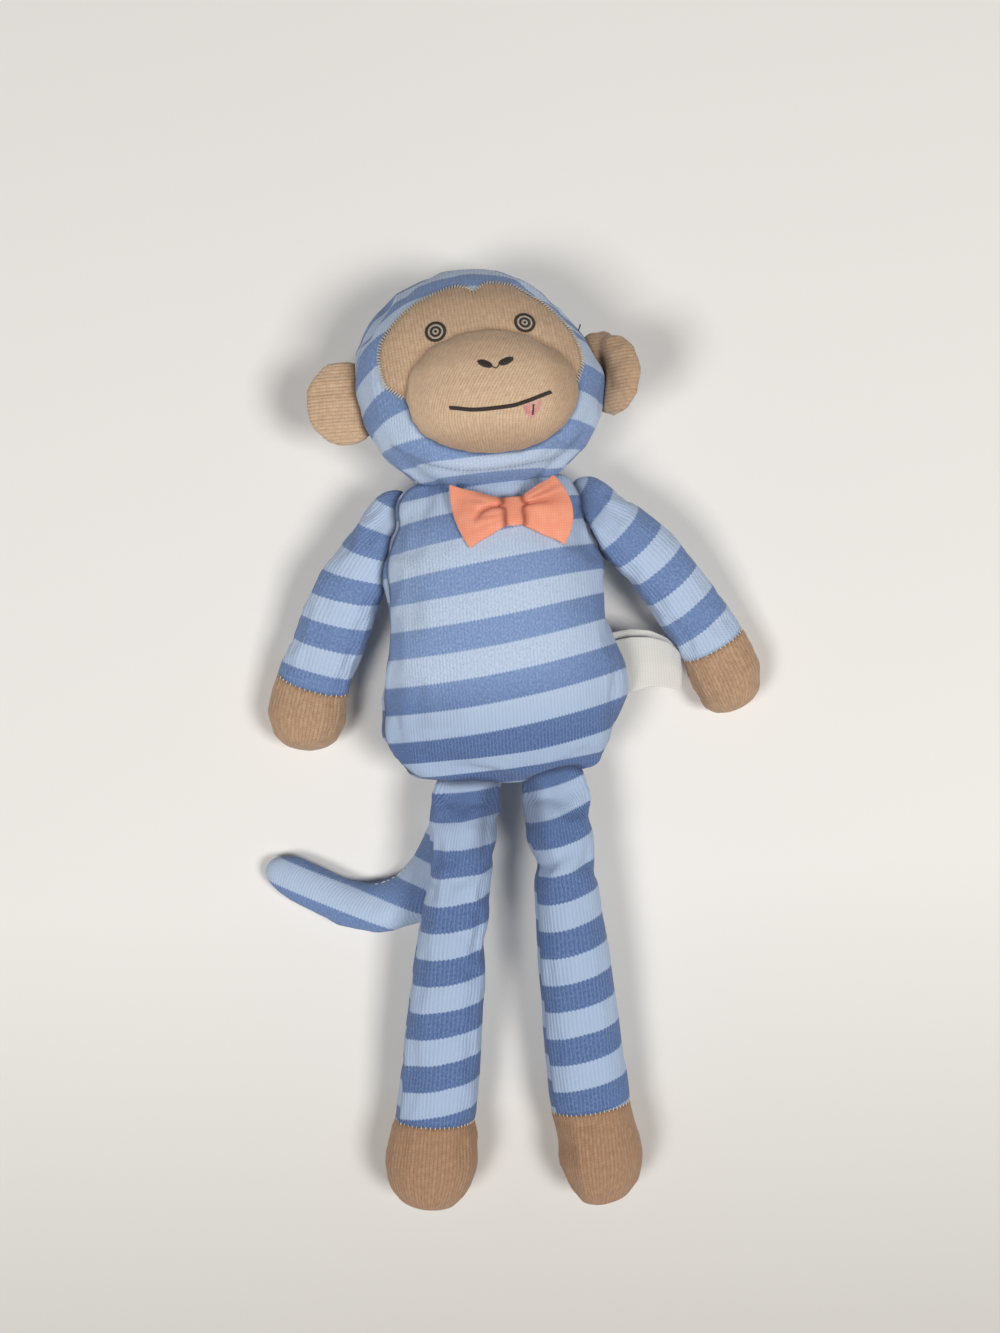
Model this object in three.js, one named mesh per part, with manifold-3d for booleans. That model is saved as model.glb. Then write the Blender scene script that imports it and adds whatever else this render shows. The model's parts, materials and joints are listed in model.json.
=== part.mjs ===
// A soft knitted monkey rattle that lies on its back, in millimetres.
// +Y runs from the feet to the head, +Z comes out of the belly and the table is the plane z = 0.
// Left and right are as seen from the front. The origin lies under the middle of the torso.
import * as THREE from "three";
import { mergeVertices } from "three/addons/utils/BufferGeometryUtils.js";
import Module from "manifold-3d";

const wasm = await Module();
wasm.setup();

// Cloth, seams and rest
const KNIT = 1.4; // thickness of the knitted cloth
const GAP = 0.3; // clearance between pieces that lie against each other
const FLAT = 0.5; // how far the stuffed pieces are pressed flat by the table
const THREAD = 0.8; // height of the embroidery above the cloth
const SEAM_ALLOWANCE = 3; // cloth turned in behind a seam

// Torso
const TORSO_LENGTH = 112; // from the bottom seam to the neck
const TORSO_WIDTH = 93; // widest, low on the belly
const CHEST_WIDTH = 81; // below the shoulders
const NECK_WIDTH = 52;
const TORSO_DEPTH = 58;

// Head
const HEAD_WIDTH = 91;
const HEAD_HEIGHT = 81;
const HEAD_DEPTH = 70;
const HEAD_OFFSET = -0.5; // the head lies a little to the left
const NECK_SINK = 4; // how far the head is pressed flat at the neck

// Face
const PATCH_WIDTH = 74;
const PATCH_TOP = 33; // brow above the middle of the head
const NOTCH = 3.5; // depth of the dip between the two lobes of the brow
const MUZZLE_WIDTH = 65;
const MUZZLE_HEIGHT = 43;
const MUZZLE_RISE = 11; // height above the face
const MUZZLE_DROP = 8.3; // its middle below the middle of the head
const FACE_LEAN = 3.5; // the muzzle sits a little to the right
const EYE_DIAMETER = 7.8;
const EYE_SPACING = 31.7;
const EYE_HEIGHT = 14.5; // above the middle of the head
const NOSTRIL_LENGTH = 5.6;
const NOSTRIL_SPACING = 7;
const NOSTRIL_HEIGHT = 7.5; // above the middle of the muzzle
const MOUTH_WIDTH = 36;
const MOUTH_DROP = 9.3; // its lowest point below the middle of the muzzle
const MOUTH_THREAD = 1.9;
const TONGUE_LENGTH = 6.5;

// Ears
const LEFT_EAR_HEIGHT = 33;
const RIGHT_EAR_HEIGHT = 30;
const EAR_REACH = 21; // out from the side of the head
const EAR_DEPTH = 9;
const EAR_TUCK = 1; // its seam inside the side of the head
const LEFT_EAR_DROP = 3.5; // its middle below the middle of the head
const RIGHT_EAR_DROP = 0.5;
const LEFT_EAR_FOLD = 0; // degrees forward
const RIGHT_EAR_FOLD = 46;
const EAR_SWING = 25; // degrees each way

// Arms
const SLEEVE_LENGTH = 76; // from the shoulder to the wrist seam
const HAND_LENGTH = 25;
const SHOULDER_WIDTH = 20;
const ELBOW_WIDTH = 23;
const WRIST_WIDTH = 24.5;
const HAND_WIDTH = 27;
const HAND_DEPTH = 24;
const SHOULDER_HEIGHT = 47; // above the middle of the torso
const SHOULDER_SPACING = 69;
const LEFT_ARM_SPREAD = 32; // degrees away from the torso
const RIGHT_ARM_SPREAD = 38;
const ELBOW_BOW = 4.5; // how far the elbow bows outward
const HAND_TURN = 20; // degrees that the hand bends back
const ARM_LIFT = 100; // degrees forward

// Legs
const LEG_LENGTH = 132; // from the bottom seam to the ankle seam
const FOOT_LENGTH = 37;
const HIP_SPACING = 32.5;
const HIP_WIDTH = 25.6;
const ANKLE_WIDTH = 30.5;
const FOOT_WIDTH = 35.5;
const FOOT_DEPTH = 31;
const LEFT_LEG_SPREAD = 9.5; // degrees
const RIGHT_LEG_SPREAD = 2.6;
const LEG_LIFT = 90; // degrees forward

// Tail
const TAIL_ROOT_WIDTH = 23;
const TAIL_TIP_WIDTH = 17;
const TAIL_DEPTH = 12;
const TAIL_TUCK = 19; // its root above the bottom seam
const TAIL_ROOT_LENGTH = 61; // straight stretch
const TAIL_BEND_RADIUS = 29;
const TAIL_BEND = 90; // degrees
const TAIL_END_LENGTH = 32; // straight stretch
const TAIL_HEADING = 31; // degrees from the line of the torso
const TAIL_WAG = 8; // degrees each way

// Bow and label
const BOW_WIDTH = 43;
const BOW_HEIGHT = 21;
const BOW_DEPTH = 5;
const BOW_CLOTH = 1;
const BOW_DROP = 14; // its middle below the neck
const BOW_OFFSET = 7.3; // its middle from the middle of the chest
const BOW_TILT = 5; // degrees
const KNOT_WIDTH = 8;
const KNOT_HEIGHT = 10.5;
const LABEL_WIDTH = 22;
const LABEL_LENGTH = 31;
const LABEL_CLOTH = 0.6;
const LABEL_DROP = 14.5; // its middle below the middle of the torso
const LABEL_SAG = 32; // degrees below level

// Rattle
const RATTLE_DIAMETER = 34;
const RATTLE_WALL = 1.6;
const RATTLE_LIP = 1.6; // how far the two halves overlap
const BEAD_DIAMETER = 6;
const RING_BEADS = 6; // beads round the one in the middle

const X = new THREE.Vector3(1, 0, 0);
const Y = new THREE.Vector3(0, 1, 0);
const Z = new THREE.Vector3(0, 0, 1);
const toy = new THREE.Group();

const material = (color, roughness) => new THREE.MeshStandardMaterial({ color, roughness });
const stripedKnit = () => material(0x9fb2d2, 0.95);
const tanKnit = () => material(0xb3927a, 0.95);
const stuffing = () => material(0xf2efe8, 1);
const darkThread = () => material(0x33241c, 0.8);

// Turns a closed geometry into a solid that can be joined and cut.
function solid(geometry) {
  const bare = geometry.clone();
  bare.deleteAttribute("normal");
  bare.deleteAttribute("uv");
  const merged = mergeVertices(bare, 1e-4);
  const vertProperties = new Float32Array(merged.attributes.position.array);
  const triVerts = new Uint32Array(merged.index.array);
  return new wasm.Manifold(new wasm.Mesh({ numProp: 3, vertProperties, triVerts }));
}

// Puts a finished solid into the toy as a named piece.
function piece(name, body, look) {
  const data = body.getMesh();
  const geometry = new THREE.BufferGeometry();
  geometry.setAttribute("position", new THREE.BufferAttribute(new Float32Array(data.vertProperties), 3));
  geometry.setIndex(new THREE.BufferAttribute(new Uint32Array(data.triVerts), 1));
  geometry.computeVertexNormals();
  const mesh = new THREE.Mesh(geometry, look);
  mesh.name = name;
  toy.add(mesh);
}

// A stuffed form: elliptical rings along a spine, closed to a point at both ends.
// A station gives the place along the spine from 0 to 1, the half width and the half depth.
function form(spine, stations, sides, steps) {
  const length = spine.getLength();
  const marks = stations.map((s) => new THREE.Vector3(s[0] * length, s[1], s[2]));
  const profile = new THREE.CatmullRomCurve3(marks);
  const positions = [];
  const index = [];
  for (let i = 0; i <= steps; i += 1) {
    const at = profile.getPoint(i / steps);
    const u = THREE.MathUtils.clamp(at.x / length, 0, 1);
    const middle = spine.getPointAt(u);
    const along = spine.getTangentAt(u);
    const across = new THREE.Vector3().crossVectors(along, Z).normalize();
    const up = new THREE.Vector3().crossVectors(across, along);
    const pole = i === 0 || i === steps;
    for (let j = 0; j < (pole ? 1 : sides); j += 1) {
      const angle = (2 * Math.PI * j) / sides;
      const point = middle.clone();
      if (!pole) {
        point.addScaledVector(across, at.y * Math.cos(angle));
        point.addScaledVector(up, at.z * Math.sin(angle));
      }
      positions.push(point.x, point.y, point.z);
    }
  }
  const ring = (i, j) => 1 + (i - 1) * sides + (j % sides);
  const last = positions.length / 3 - 1;
  for (let j = 0; j < sides; j += 1) {
    index.push(0, ring(1, j), ring(1, j + 1));
    index.push(last, ring(steps - 1, j + 1), ring(steps - 1, j));
    for (let i = 1; i < steps - 1; i += 1) {
      index.push(ring(i, j), ring(i + 1, j), ring(i + 1, j + 1));
      index.push(ring(i, j), ring(i + 1, j + 1), ring(i, j + 1));
    }
  }
  const geometry = new THREE.BufferGeometry();
  geometry.setAttribute("position", new THREE.Float32BufferAttribute(positions, 3));
  geometry.setIndex(index);
  return geometry;
}

// The same form with its surface moved outward, or inward for a negative distance.
function grown(geometry, distance) {
  const moved = geometry.clone();
  moved.computeVertexNormals();
  const position = moved.attributes.position;
  const normal = moved.attributes.normal;
  for (let i = 0; i < position.count; i += 1) {
    position.setX(i, position.getX(i) + distance * normal.getX(i));
    position.setY(i, position.getY(i) + distance * normal.getY(i));
    position.setZ(i, position.getZ(i) + distance * normal.getZ(i));
  }
  return moved;
}

// A copy of a geometry turned by some degrees about an axis through a point.
function turned(geometry, pivot, axis, degrees) {
  const copy = geometry.clone();
  const turn = new THREE.Quaternion().setFromAxisAngle(axis, THREE.MathUtils.degToRad(degrees));
  copy.translate(-pivot.x, -pivot.y, -pivot.z);
  copy.applyQuaternion(turn);
  copy.translate(pivot.x, pivot.y, pivot.z);
  return copy;
}

// All the space that a geometry takes as it turns through a list of angles.
function swept(geometry, pivot, axis, angles) {
  return wasm.Manifold.union(angles.map((degrees) => solid(turned(geometry, pivot, axis, degrees))));
}

// An ellipsoid with its poles along Y, given by its half sizes.
function ellipsoid(halfX, halfY, halfZ, sides, rings, middle) {
  const geometry = new THREE.SphereGeometry(1, sides, rings);
  geometry.scale(halfX, halfY, halfZ);
  geometry.translate(middle.x, middle.y, middle.z);
  return geometry;
}

// The parts of a solid above and below a level, with a seam between them.
const above = (body, level) => body.trimByPlane([0, 0, 1], level + GAP / 2);
const below = (body, level) => body.trimByPlane([0, 0, -1], -level + GAP / 2);
const onTable = (body) => body.trimByPlane([0, 0, 1], 0);

// A direction in the plane of the table, in degrees from -Y towards one side.
function heading(degrees, side) {
  const angle = THREE.MathUtils.degToRad(degrees);
  return new THREE.Vector3(side * Math.sin(angle), -Math.cos(angle), 0);
}

// Torso: two panels over two halves of stuffing, with a pocket for the rattle
const midTorso = TORSO_DEPTH / 2 - FLAT;
const bottomSeam = -TORSO_LENGTH / 2;
const neck = TORSO_LENGTH / 2;
const neckCap = 0.06;
const torsoSpine = new THREE.LineCurve3(
  new THREE.Vector3(0, bottomSeam, midTorso),
  new THREE.Vector3(0, neck + TORSO_LENGTH * neckCap, midTorso)
);
const torsoForm = form(
  torsoSpine,
  [
    [0, 0, 0],
    [0.025, 0.38 * TORSO_WIDTH, 0.17 * TORSO_DEPTH],
    [0.12, 0.475 * TORSO_WIDTH, 0.36 * TORSO_DEPTH],
    [0.27, 0.5 * TORSO_WIDTH, 0.48 * TORSO_DEPTH],
    [0.46, 0.48 * TORSO_WIDTH, 0.5 * TORSO_DEPTH],
    [0.7, 0.5 * CHEST_WIDTH, 0.48 * TORSO_DEPTH],
    [0.85, 0.42 * CHEST_WIDTH, 0.42 * TORSO_DEPTH],
    [0.95, 0.5 * NECK_WIDTH, 0.36 * TORSO_DEPTH],
    [1, 0, 0],
  ],
  20,
  16
);
const torsoGrown = grown(torsoForm, GAP);
const torsoRoom = grown(torsoForm, 2 * GAP);
const underNeck = (body) => body.trimByPlane([0, -1, 0], -neck + GAP / 2);
const overNeck = (body) => body.trimByPlane([0, 1, 0], neck + GAP / 2);
const torsoSkin = underNeck(onTable(solid(torsoForm)).subtract(solid(grown(torsoForm, -KNIT))));
function ball(radius) {
  const geometry = new THREE.SphereGeometry(radius, 16, 8);
  geometry.rotateX(Math.PI / 2);
  geometry.translate(0, 0, midTorso);
  return solid(geometry);
}
const pocket = ball(RATTLE_DIAMETER / 2 + GAP);
const torsoFill = underNeck(solid(grown(torsoForm, -KNIT - GAP))).subtract(pocket);
piece("torso_front_panel", above(torsoSkin, midTorso), stripedKnit());
piece("torso_back_panel", below(torsoSkin, midTorso), stripedKnit());
piece("torso_front_filling", above(torsoFill, midTorso), stuffing());
piece("torso_back_filling", below(torsoFill, midTorso), stuffing());

// Rattle: two half shells that lap at a lip, and loose beads that lie at the bottom
const rattleInner = RATTLE_DIAMETER / 2 - RATTLE_WALL;
const lipRadius = RATTLE_DIAMETER / 2 - RATTLE_WALL / 2;
function lipRing(outer, bottom, top) {
  const tube = new THREE.CylinderGeometry(outer, outer, top - bottom, 16);
  const bore = new THREE.CylinderGeometry(rattleInner, rattleInner, top - bottom + 1, 16);
  for (const geometry of [tube, bore]) {
    geometry.rotateX(Math.PI / 2);
    geometry.translate(0, 0, midTorso + (bottom + top) / 2);
  }
  return solid(tube).subtract(solid(bore));
}
const capsule = ball(RATTLE_DIAMETER / 2).subtract(ball(rattleInner));
const lip = lipRing(lipRadius, -RATTLE_LIP, RATTLE_LIP);
const lipSpace = lipRing(lipRadius + GAP, -RATTLE_LIP, RATTLE_LIP + GAP);
piece("rattle_front_shell", above(capsule, midTorso).subtract(lipSpace), material(0xe9e6df, 0.4));
piece("rattle_back_shell", below(capsule, midTorso).add(lip), material(0xe9e6df, 0.4));
const beadOrbit = rattleInner - BEAD_DIAMETER / 2 - 2 * GAP;
const beadRing = (BEAD_DIAMETER + GAP) / (2 * Math.sin(Math.PI / RING_BEADS));
function bead(name, x, y) {
  const geometry = new THREE.IcosahedronGeometry(BEAD_DIAMETER / 2, 1);
  geometry.translate(x, y, midTorso - Math.sqrt(beadOrbit ** 2 - x ** 2 - y ** 2));
  piece(name, solid(geometry), material(0xd9b36c, 0.5));
}
bead("bead_0", 0, 0);
for (let i = 1; i <= RING_BEADS; i += 1) {
  const angle = (2 * Math.PI * i) / RING_BEADS;
  bead(`bead_${i}`, beadRing * Math.cos(angle), beadRing * Math.sin(angle));
}

// Head: two panels over stuffing, pressed flat at the neck
const midHead = new THREE.Vector3(HEAD_OFFSET, neck + HEAD_HEIGHT / 2 - NECK_SINK, HEAD_DEPTH / 2 - FLAT);
const headForm = (extra) =>
  ellipsoid(HEAD_WIDTH / 2 + extra, HEAD_HEIGHT / 2 + extra, HEAD_DEPTH / 2 + extra, 20, 10, midHead);
const headSkin = overNeck(onTable(solid(headForm(0))).subtract(solid(headForm(-KNIT))));
piece("head_front_panel", above(headSkin, midHead.z), stripedKnit());
piece("head_back_panel", below(headSkin, midHead.z), stripedKnit());
piece("head_filling", overNeck(solid(headForm(-KNIT - GAP))), stuffing());

// Face: a patch with a lobed brow that runs on under the raised muzzle
function prism(shape, x, y) {
  const depth = HEAD_DEPTH;
  const geometry = new THREE.ExtrudeGeometry(shape, { depth, bevelEnabled: false, curveSegments: 7 });
  geometry.translate(x, y, midHead.z);
  return solid(geometry);
}
function oval(width, height, tilt) {
  const shape = new THREE.Shape();
  shape.absellipse(0, 0, width / 2, height / 2, 0, 2 * Math.PI, false, THREE.MathUtils.degToRad(tilt));
  return shape;
}
const midMuzzle = new THREE.Vector3(midHead.x + FACE_LEAN, midHead.y - MUZZLE_DROP, 0);
const faceLevel = midHead.z + (HEAD_DEPTH / 2) * Math.sqrt(1 - (2 * MUZZLE_DROP / HEAD_HEIGHT) ** 2);
midMuzzle.z = faceLevel + KNIT + GAP + MUZZLE_RISE - MUZZLE_HEIGHT / 2;
const muzzleForm = (extra) => {
  const halfHeight = MUZZLE_HEIGHT / 2 + extra;
  return ellipsoid(MUZZLE_WIDTH / 2 + extra, halfHeight, halfHeight, 16, 10, midMuzzle);
};
function browHalf(shape, side) {
  const wide = (side * PATCH_WIDTH) / 2;
  const lobe = 0.17 * PATCH_WIDTH * side;
  const low = 0.4 * PATCH_WIDTH * side;
  if (side > 0) {
    shape.moveTo(0, PATCH_TOP - NOTCH);
    shape.bezierCurveTo(0.3 * lobe, PATCH_TOP, 0.6 * lobe, PATCH_TOP, lobe, PATCH_TOP);
    shape.bezierCurveTo(2 * lobe, PATCH_TOP, wide, 0.7 * PATCH_TOP, wide, 0.25 * PATCH_TOP);
    shape.bezierCurveTo(wide, 0, low, -0.2 * PATCH_TOP, low, -0.3 * PATCH_TOP);
  } else {
    shape.lineTo(low, -0.3 * PATCH_TOP);
    shape.bezierCurveTo(low, -0.2 * PATCH_TOP, wide, 0, wide, 0.25 * PATCH_TOP);
    shape.bezierCurveTo(wide, 0.7 * PATCH_TOP, 2 * lobe, PATCH_TOP, lobe, PATCH_TOP);
    shape.bezierCurveTo(0.6 * lobe, PATCH_TOP, 0.3 * lobe, PATCH_TOP, 0, PATCH_TOP - NOTCH);
  }
}
const brow = new THREE.Shape();
browHalf(brow, 1);
browHalf(brow, -1);
const underMuzzle = oval(MUZZLE_WIDTH - 2 * SEAM_ALLOWANCE, MUZZLE_HEIGHT - 2 * SEAM_ALLOWANCE, 0);
const patchArea = prism(brow, midHead.x, midHead.y).add(prism(underMuzzle, midMuzzle.x, midMuzzle.y));
const patchBase = solid(headForm(GAP));
piece("face_patch", solid(headForm(GAP + KNIT)).subtract(patchBase).intersect(patchArea), tanKnit());
const patchTop = solid(headForm(2 * GAP + KNIT));
const muzzleSkin = solid(muzzleForm(0)).subtract(solid(muzzleForm(-KNIT)));
piece("muzzle_panel", muzzleSkin.subtract(patchTop), tanKnit());
piece("muzzle_filling", solid(muzzleForm(-KNIT - GAP)).subtract(patchTop), stuffing());

// Embroidery: thin pads that follow the cloth below them
const muzzleTop = solid(muzzleForm(GAP));
const eyeLayer = solid(headForm(2 * GAP + KNIT + THREAD)).subtract(patchTop).subtract(muzzleTop);
const mouthLayer = solid(muzzleForm(GAP + THREAD)).subtract(muzzleTop).subtract(patchTop);
function eyeRing(name, x, outer, inner, look) {
  const shape = oval(outer, outer, 0);
  if (inner > 0) {
    shape.holes.push(oval(inner, inner, 0));
  }
  piece(name, prism(shape, x, midHead.y + EYE_HEIGHT).intersect(eyeLayer), look);
}
for (const [side, label] of [[-1, "left"], [1, "right"]]) {
  const x = midHead.x + (side * EYE_SPACING) / 2;
  const whiteOuter = 0.7 * EYE_DIAMETER;
  const whiteInner = 0.42 * EYE_DIAMETER;
  eyeRing(`${label}_eye_rim`, x, EYE_DIAMETER, whiteOuter + 2 * GAP, darkThread());
  eyeRing(`${label}_eye_white`, x, whiteOuter, whiteInner + 2 * GAP, material(0xe8e2d8, 0.8));
  eyeRing(`${label}_pupil`, x, whiteInner, 0, darkThread());
  const nostril = oval(NOSTRIL_LENGTH, NOSTRIL_LENGTH / 2, 20 * side);
  const nostrilX = midMuzzle.x + (side * NOSTRIL_SPACING) / 2 + 0.4 * FACE_LEAN;
  const nostrilY = midMuzzle.y + NOSTRIL_HEIGHT;
  piece(`${label}_nostril`, prism(nostril, nostrilX, nostrilY).intersect(mouthLayer), darkThread());
}
const smileRadius = 1.5 * MOUTH_WIDTH;
const smileAngle = Math.asin(MOUTH_WIDTH / 2 / smileRadius);
function smileBand(outer, inner) {
  const middle = -Math.PI / 2 + 0.09;
  const shape = new THREE.Shape();
  shape.absarc(0, 0, outer, middle - smileAngle, middle + smileAngle, false);
  shape.absarc(0, 0, inner, middle + smileAngle, middle - smileAngle, true);
  shape.closePath();
  return prism(shape, midMuzzle.x, midMuzzle.y - MOUTH_DROP + smileRadius);
}
piece("mouth_line", smileBand(smileRadius, smileRadius - MOUTH_THREAD).intersect(mouthLayer), darkThread());
const tongueX = midMuzzle.x + 0.39 * MOUTH_WIDTH;
const tongue = prism(oval(0.65 * TONGUE_LENGTH, TONGUE_LENGTH, -20), tongueX, midMuzzle.y - MOUTH_DROP);
const mouthSpace = smileBand(smileRadius + GAP, smileRadius - 4 * MOUTH_THREAD);
piece("tongue", tongue.intersect(mouthLayer).subtract(mouthSpace), material(0xd98a8f, 0.85));

// Ears: a front and a back piece round a little stuffing, trimmed so that they can fold at the seam
const headSpace = headForm(GAP);
const leftEar = [-1, "left", LEFT_EAR_FOLD, LEFT_EAR_HEIGHT, LEFT_EAR_DROP];
const rightEar = [1, "right", RIGHT_EAR_FOLD, RIGHT_EAR_HEIGHT, RIGHT_EAR_DROP];
for (const [side, label, fold, height, drop] of [leftEar, rightEar]) {
  const seamX = midHead.x + (side * HEAD_WIDTH) / 2;
  const seam = new THREE.Vector3(seamX - side * EAR_TUCK, midHead.y - drop, midHead.z);
  const half = 0.7 * EAR_REACH;
  const middle = new THREE.Vector3(seamX + side * (EAR_REACH - half), seam.y, seam.z);
  const earForm = (extra) => {
    const flat = ellipsoid(half + extra, height / 2 + extra, EAR_DEPTH / 2 + extra, 12, 6, middle);
    return turned(flat, seam, Y, -side * fold);
  };
  const cut = swept(headSpace, seam, Y, [-EAR_SWING, 0, EAR_SWING]);
  const skin = solid(earForm(0)).subtract(solid(earForm(-KNIT))).subtract(cut);
  const facing = Z.clone().applyAxisAngle(Y, THREE.MathUtils.degToRad(-side * fold));
  const level = facing.dot(seam);
  const front = skin.trimByPlane(facing.toArray(), level + GAP / 2);
  const back = skin.trimByPlane(facing.clone().negate().toArray(), -level + GAP / 2);
  piece(`${label}_ear_front`, front, tanKnit());
  piece(`${label}_ear_back`, back, tanKnit());
  piece(`${label}_ear_filling`, solid(earForm(-KNIT - GAP)).subtract(cut), stuffing());
}

// Limbs: a striped sleeve and a tan end over one core of stuffing, trimmed where they meet the torso
function limb(names, spine, stations, seamAt, cut) {
  const geometry = form(spine, stations, 12, stations.length - 1);
  const along = spine.getTangentAt(seamAt);
  const level = along.dot(spine.getPointAt(seamAt));
  const skin = onTable(solid(geometry)).subtract(solid(grown(geometry, -KNIT))).subtract(cut);
  const sleeve = skin.trimByPlane(along.clone().negate().toArray(), -level + GAP / 2);
  piece(names.sleeve, sleeve, stripedKnit());
  piece(names.end, skin.trimByPlane(along.toArray(), level + GAP / 2), tanKnit());
  piece(names.filling, solid(grown(geometry, -KNIT - GAP)).subtract(cut), stuffing());
  return geometry;
}
function angles(limit, count) {
  return Array.from({ length: count + 1 }, (_, i) => (limit * i) / count);
}

const arms = {};
for (const [side, label, spread] of [[-1, "left", LEFT_ARM_SPREAD], [1, "right", RIGHT_ARM_SPREAD]]) {
  const shoulder = new THREE.Vector3((side * SHOULDER_SPACING) / 2, SHOULDER_HEIGHT, midTorso);
  const lying = HAND_DEPTH / 2 - FLAT;
  const wrist = shoulder.clone().addScaledVector(heading(spread, side), SLEEVE_LENGTH).setZ(lying);
  const tip = wrist.clone().addScaledVector(heading(spread - HAND_TURN, side), HAND_LENGTH);
  const start = shoulder.clone().addScaledVector(heading(spread, side), -0.4 * SHOULDER_WIDTH);
  const elbow = shoulder.clone().lerp(wrist, 0.45).addScaledVector(heading(spread + 90, side), ELBOW_BOW);
  const spine = new THREE.CatmullRomCurve3([start, elbow, wrist, tip]);
  const seamAt = 1 - HAND_LENGTH / spine.getLength();
  const stations = [
    [0, 0, 0],
    [0.02, 0.3 * SHOULDER_WIDTH, 0.3 * SHOULDER_WIDTH],
    [0.06, 0.45 * SHOULDER_WIDTH, 0.45 * SHOULDER_WIDTH],
    [0.15, 0.5 * SHOULDER_WIDTH, 0.5 * SHOULDER_WIDTH],
    [0.5 * seamAt, 0.5 * ELBOW_WIDTH, 0.25 * (SHOULDER_WIDTH + HAND_DEPTH)],
    [seamAt, 0.5 * WRIST_WIDTH, 0.48 * HAND_DEPTH],
    [0.55 * seamAt + 0.45, 0.5 * HAND_WIDTH, 0.5 * HAND_DEPTH],
    [0.955, 0.42 * HAND_WIDTH, 0.42 * HAND_DEPTH],
    [0.985, 0.28 * HAND_WIDTH, 0.28 * HAND_DEPTH],
    [1, 0, 0],
  ];
  const cut = swept(torsoRoom, shoulder, X, angles(ARM_LIFT, 10));
  const names = { sleeve: `${label}_arm_sleeve`, end: `${label}_hand`, filling: `${label}_arm_filling` };
  arms[label] = { shoulder, form: limb(names, spine, stations, seamAt, cut) };
}

for (const [side, label, spread] of [[-1, "left", LEFT_LEG_SPREAD], [1, "right", RIGHT_LEG_SPREAD]]) {
  const hip = new THREE.Vector3((side * HIP_SPACING) / 2, bottomSeam, midTorso);
  const lying = FOOT_DEPTH / 2 - FLAT;
  const ankle = hip.clone().addScaledVector(heading(spread, side), LEG_LENGTH).setZ(lying);
  const tip = ankle.clone().addScaledVector(heading(spread, side), FOOT_LENGTH);
  const start = hip.clone().addScaledVector(heading(spread, side), -0.2 * HIP_WIDTH);
  const knee = hip.clone().lerp(ankle, 0.5);
  const spine = new THREE.CatmullRomCurve3([start, knee, ankle, tip]);
  const seamAt = 1 - FOOT_LENGTH / spine.getLength();
  const stations = [
    [0, 0, 0],
    [0.015, 0.45 * HIP_WIDTH, 0.11 * FOOT_DEPTH],
    [0.06, 0.5 * HIP_WIDTH, 0.18 * FOOT_DEPTH],
    [0.14, 0.5 * HIP_WIDTH, 0.3 * FOOT_DEPTH],
    [0.25, 0.5 * HIP_WIDTH, 0.37 * FOOT_DEPTH],
    [0.6 * seamAt, 0.25 * (HIP_WIDTH + ANKLE_WIDTH), 0.41 * FOOT_DEPTH],
    [seamAt, 0.5 * ANKLE_WIDTH, 0.46 * FOOT_DEPTH],
    [0.5 * seamAt + 0.5, 0.5 * FOOT_WIDTH, 0.5 * FOOT_DEPTH],
    [0.955, 0.47 * FOOT_WIDTH, 0.44 * FOOT_DEPTH],
    [0.985, 0.34 * FOOT_WIDTH, 0.31 * FOOT_DEPTH],
    [1, 0, 0],
  ];
  const cut = swept(torsoRoom, hip, X, angles(LEG_LIFT, 6));
  const names = { sleeve: `${label}_leg_sleeve`, end: `${label}_foot`, filling: `${label}_leg_filling` };
  limb(names, spine, stations, seamAt, cut);
}

// Tail: a straight root, a bend and a straight end, lying flat on the table below the left leg
const tailRoot = new THREE.Vector3(0, bottomSeam + TAIL_TUCK, TAIL_DEPTH / 2 - FLAT);
const rootHeading = heading(TAIL_HEADING, -1);
const bendStart = tailRoot.clone().addScaledVector(rootHeading, TAIL_ROOT_LENGTH);
const inward = new THREE.Vector3(rootHeading.y, -rootHeading.x, 0);
const bendMiddle = bendStart.clone().addScaledVector(inward, TAIL_BEND_RADIUS);
const bendFrom = Math.atan2(-inward.y, -inward.x);
const bendTo = bendFrom - THREE.MathUtils.degToRad(TAIL_BEND);
const endHeading = heading(TAIL_HEADING + TAIL_BEND, -1);
const tailLine = new THREE.Path();
tailLine.moveTo(tailRoot.x, tailRoot.y);
tailLine.lineTo(bendStart.x, bendStart.y);
tailLine.absarc(bendMiddle.x, bendMiddle.y, TAIL_BEND_RADIUS, bendFrom, bendTo, true);
const bendEnd = tailLine.currentPoint.clone();
tailLine.lineTo(bendEnd.x + TAIL_END_LENGTH * endHeading.x, bendEnd.y + TAIL_END_LENGTH * endHeading.y);
const tailPoints = tailLine.getSpacedPoints(16).map((p) => new THREE.Vector3(p.x, p.y, tailRoot.z));
const tailForm = form(
  new THREE.CatmullRomCurve3(tailPoints),
  [
    [0, 0, 0],
    [0.04, 0.4 * TAIL_ROOT_WIDTH, 0.38 * TAIL_DEPTH],
    [0.14, 0.5 * TAIL_ROOT_WIDTH, 0.5 * TAIL_DEPTH],
    [0.35, 0.49 * TAIL_ROOT_WIDTH, 0.5 * TAIL_DEPTH],
    [0.55, 0.46 * TAIL_ROOT_WIDTH, 0.5 * TAIL_DEPTH],
    [0.75, 0.52 * TAIL_TIP_WIDTH, 0.5 * TAIL_DEPTH],
    [0.92, 0.46 * TAIL_TIP_WIDTH, 0.45 * TAIL_DEPTH],
    [0.98, 0.28 * TAIL_TIP_WIDTH, 0.28 * TAIL_DEPTH],
    [1, 0, 0],
  ],
  12,
  16
);
const tailCut = swept(torsoGrown, tailRoot, Z, [-TAIL_WAG, 0, TAIL_WAG]);
const tailSkin = onTable(solid(tailForm)).subtract(solid(grown(tailForm, -KNIT))).subtract(tailCut);
piece("tail_sleeve", tailSkin, stripedKnit());
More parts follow.
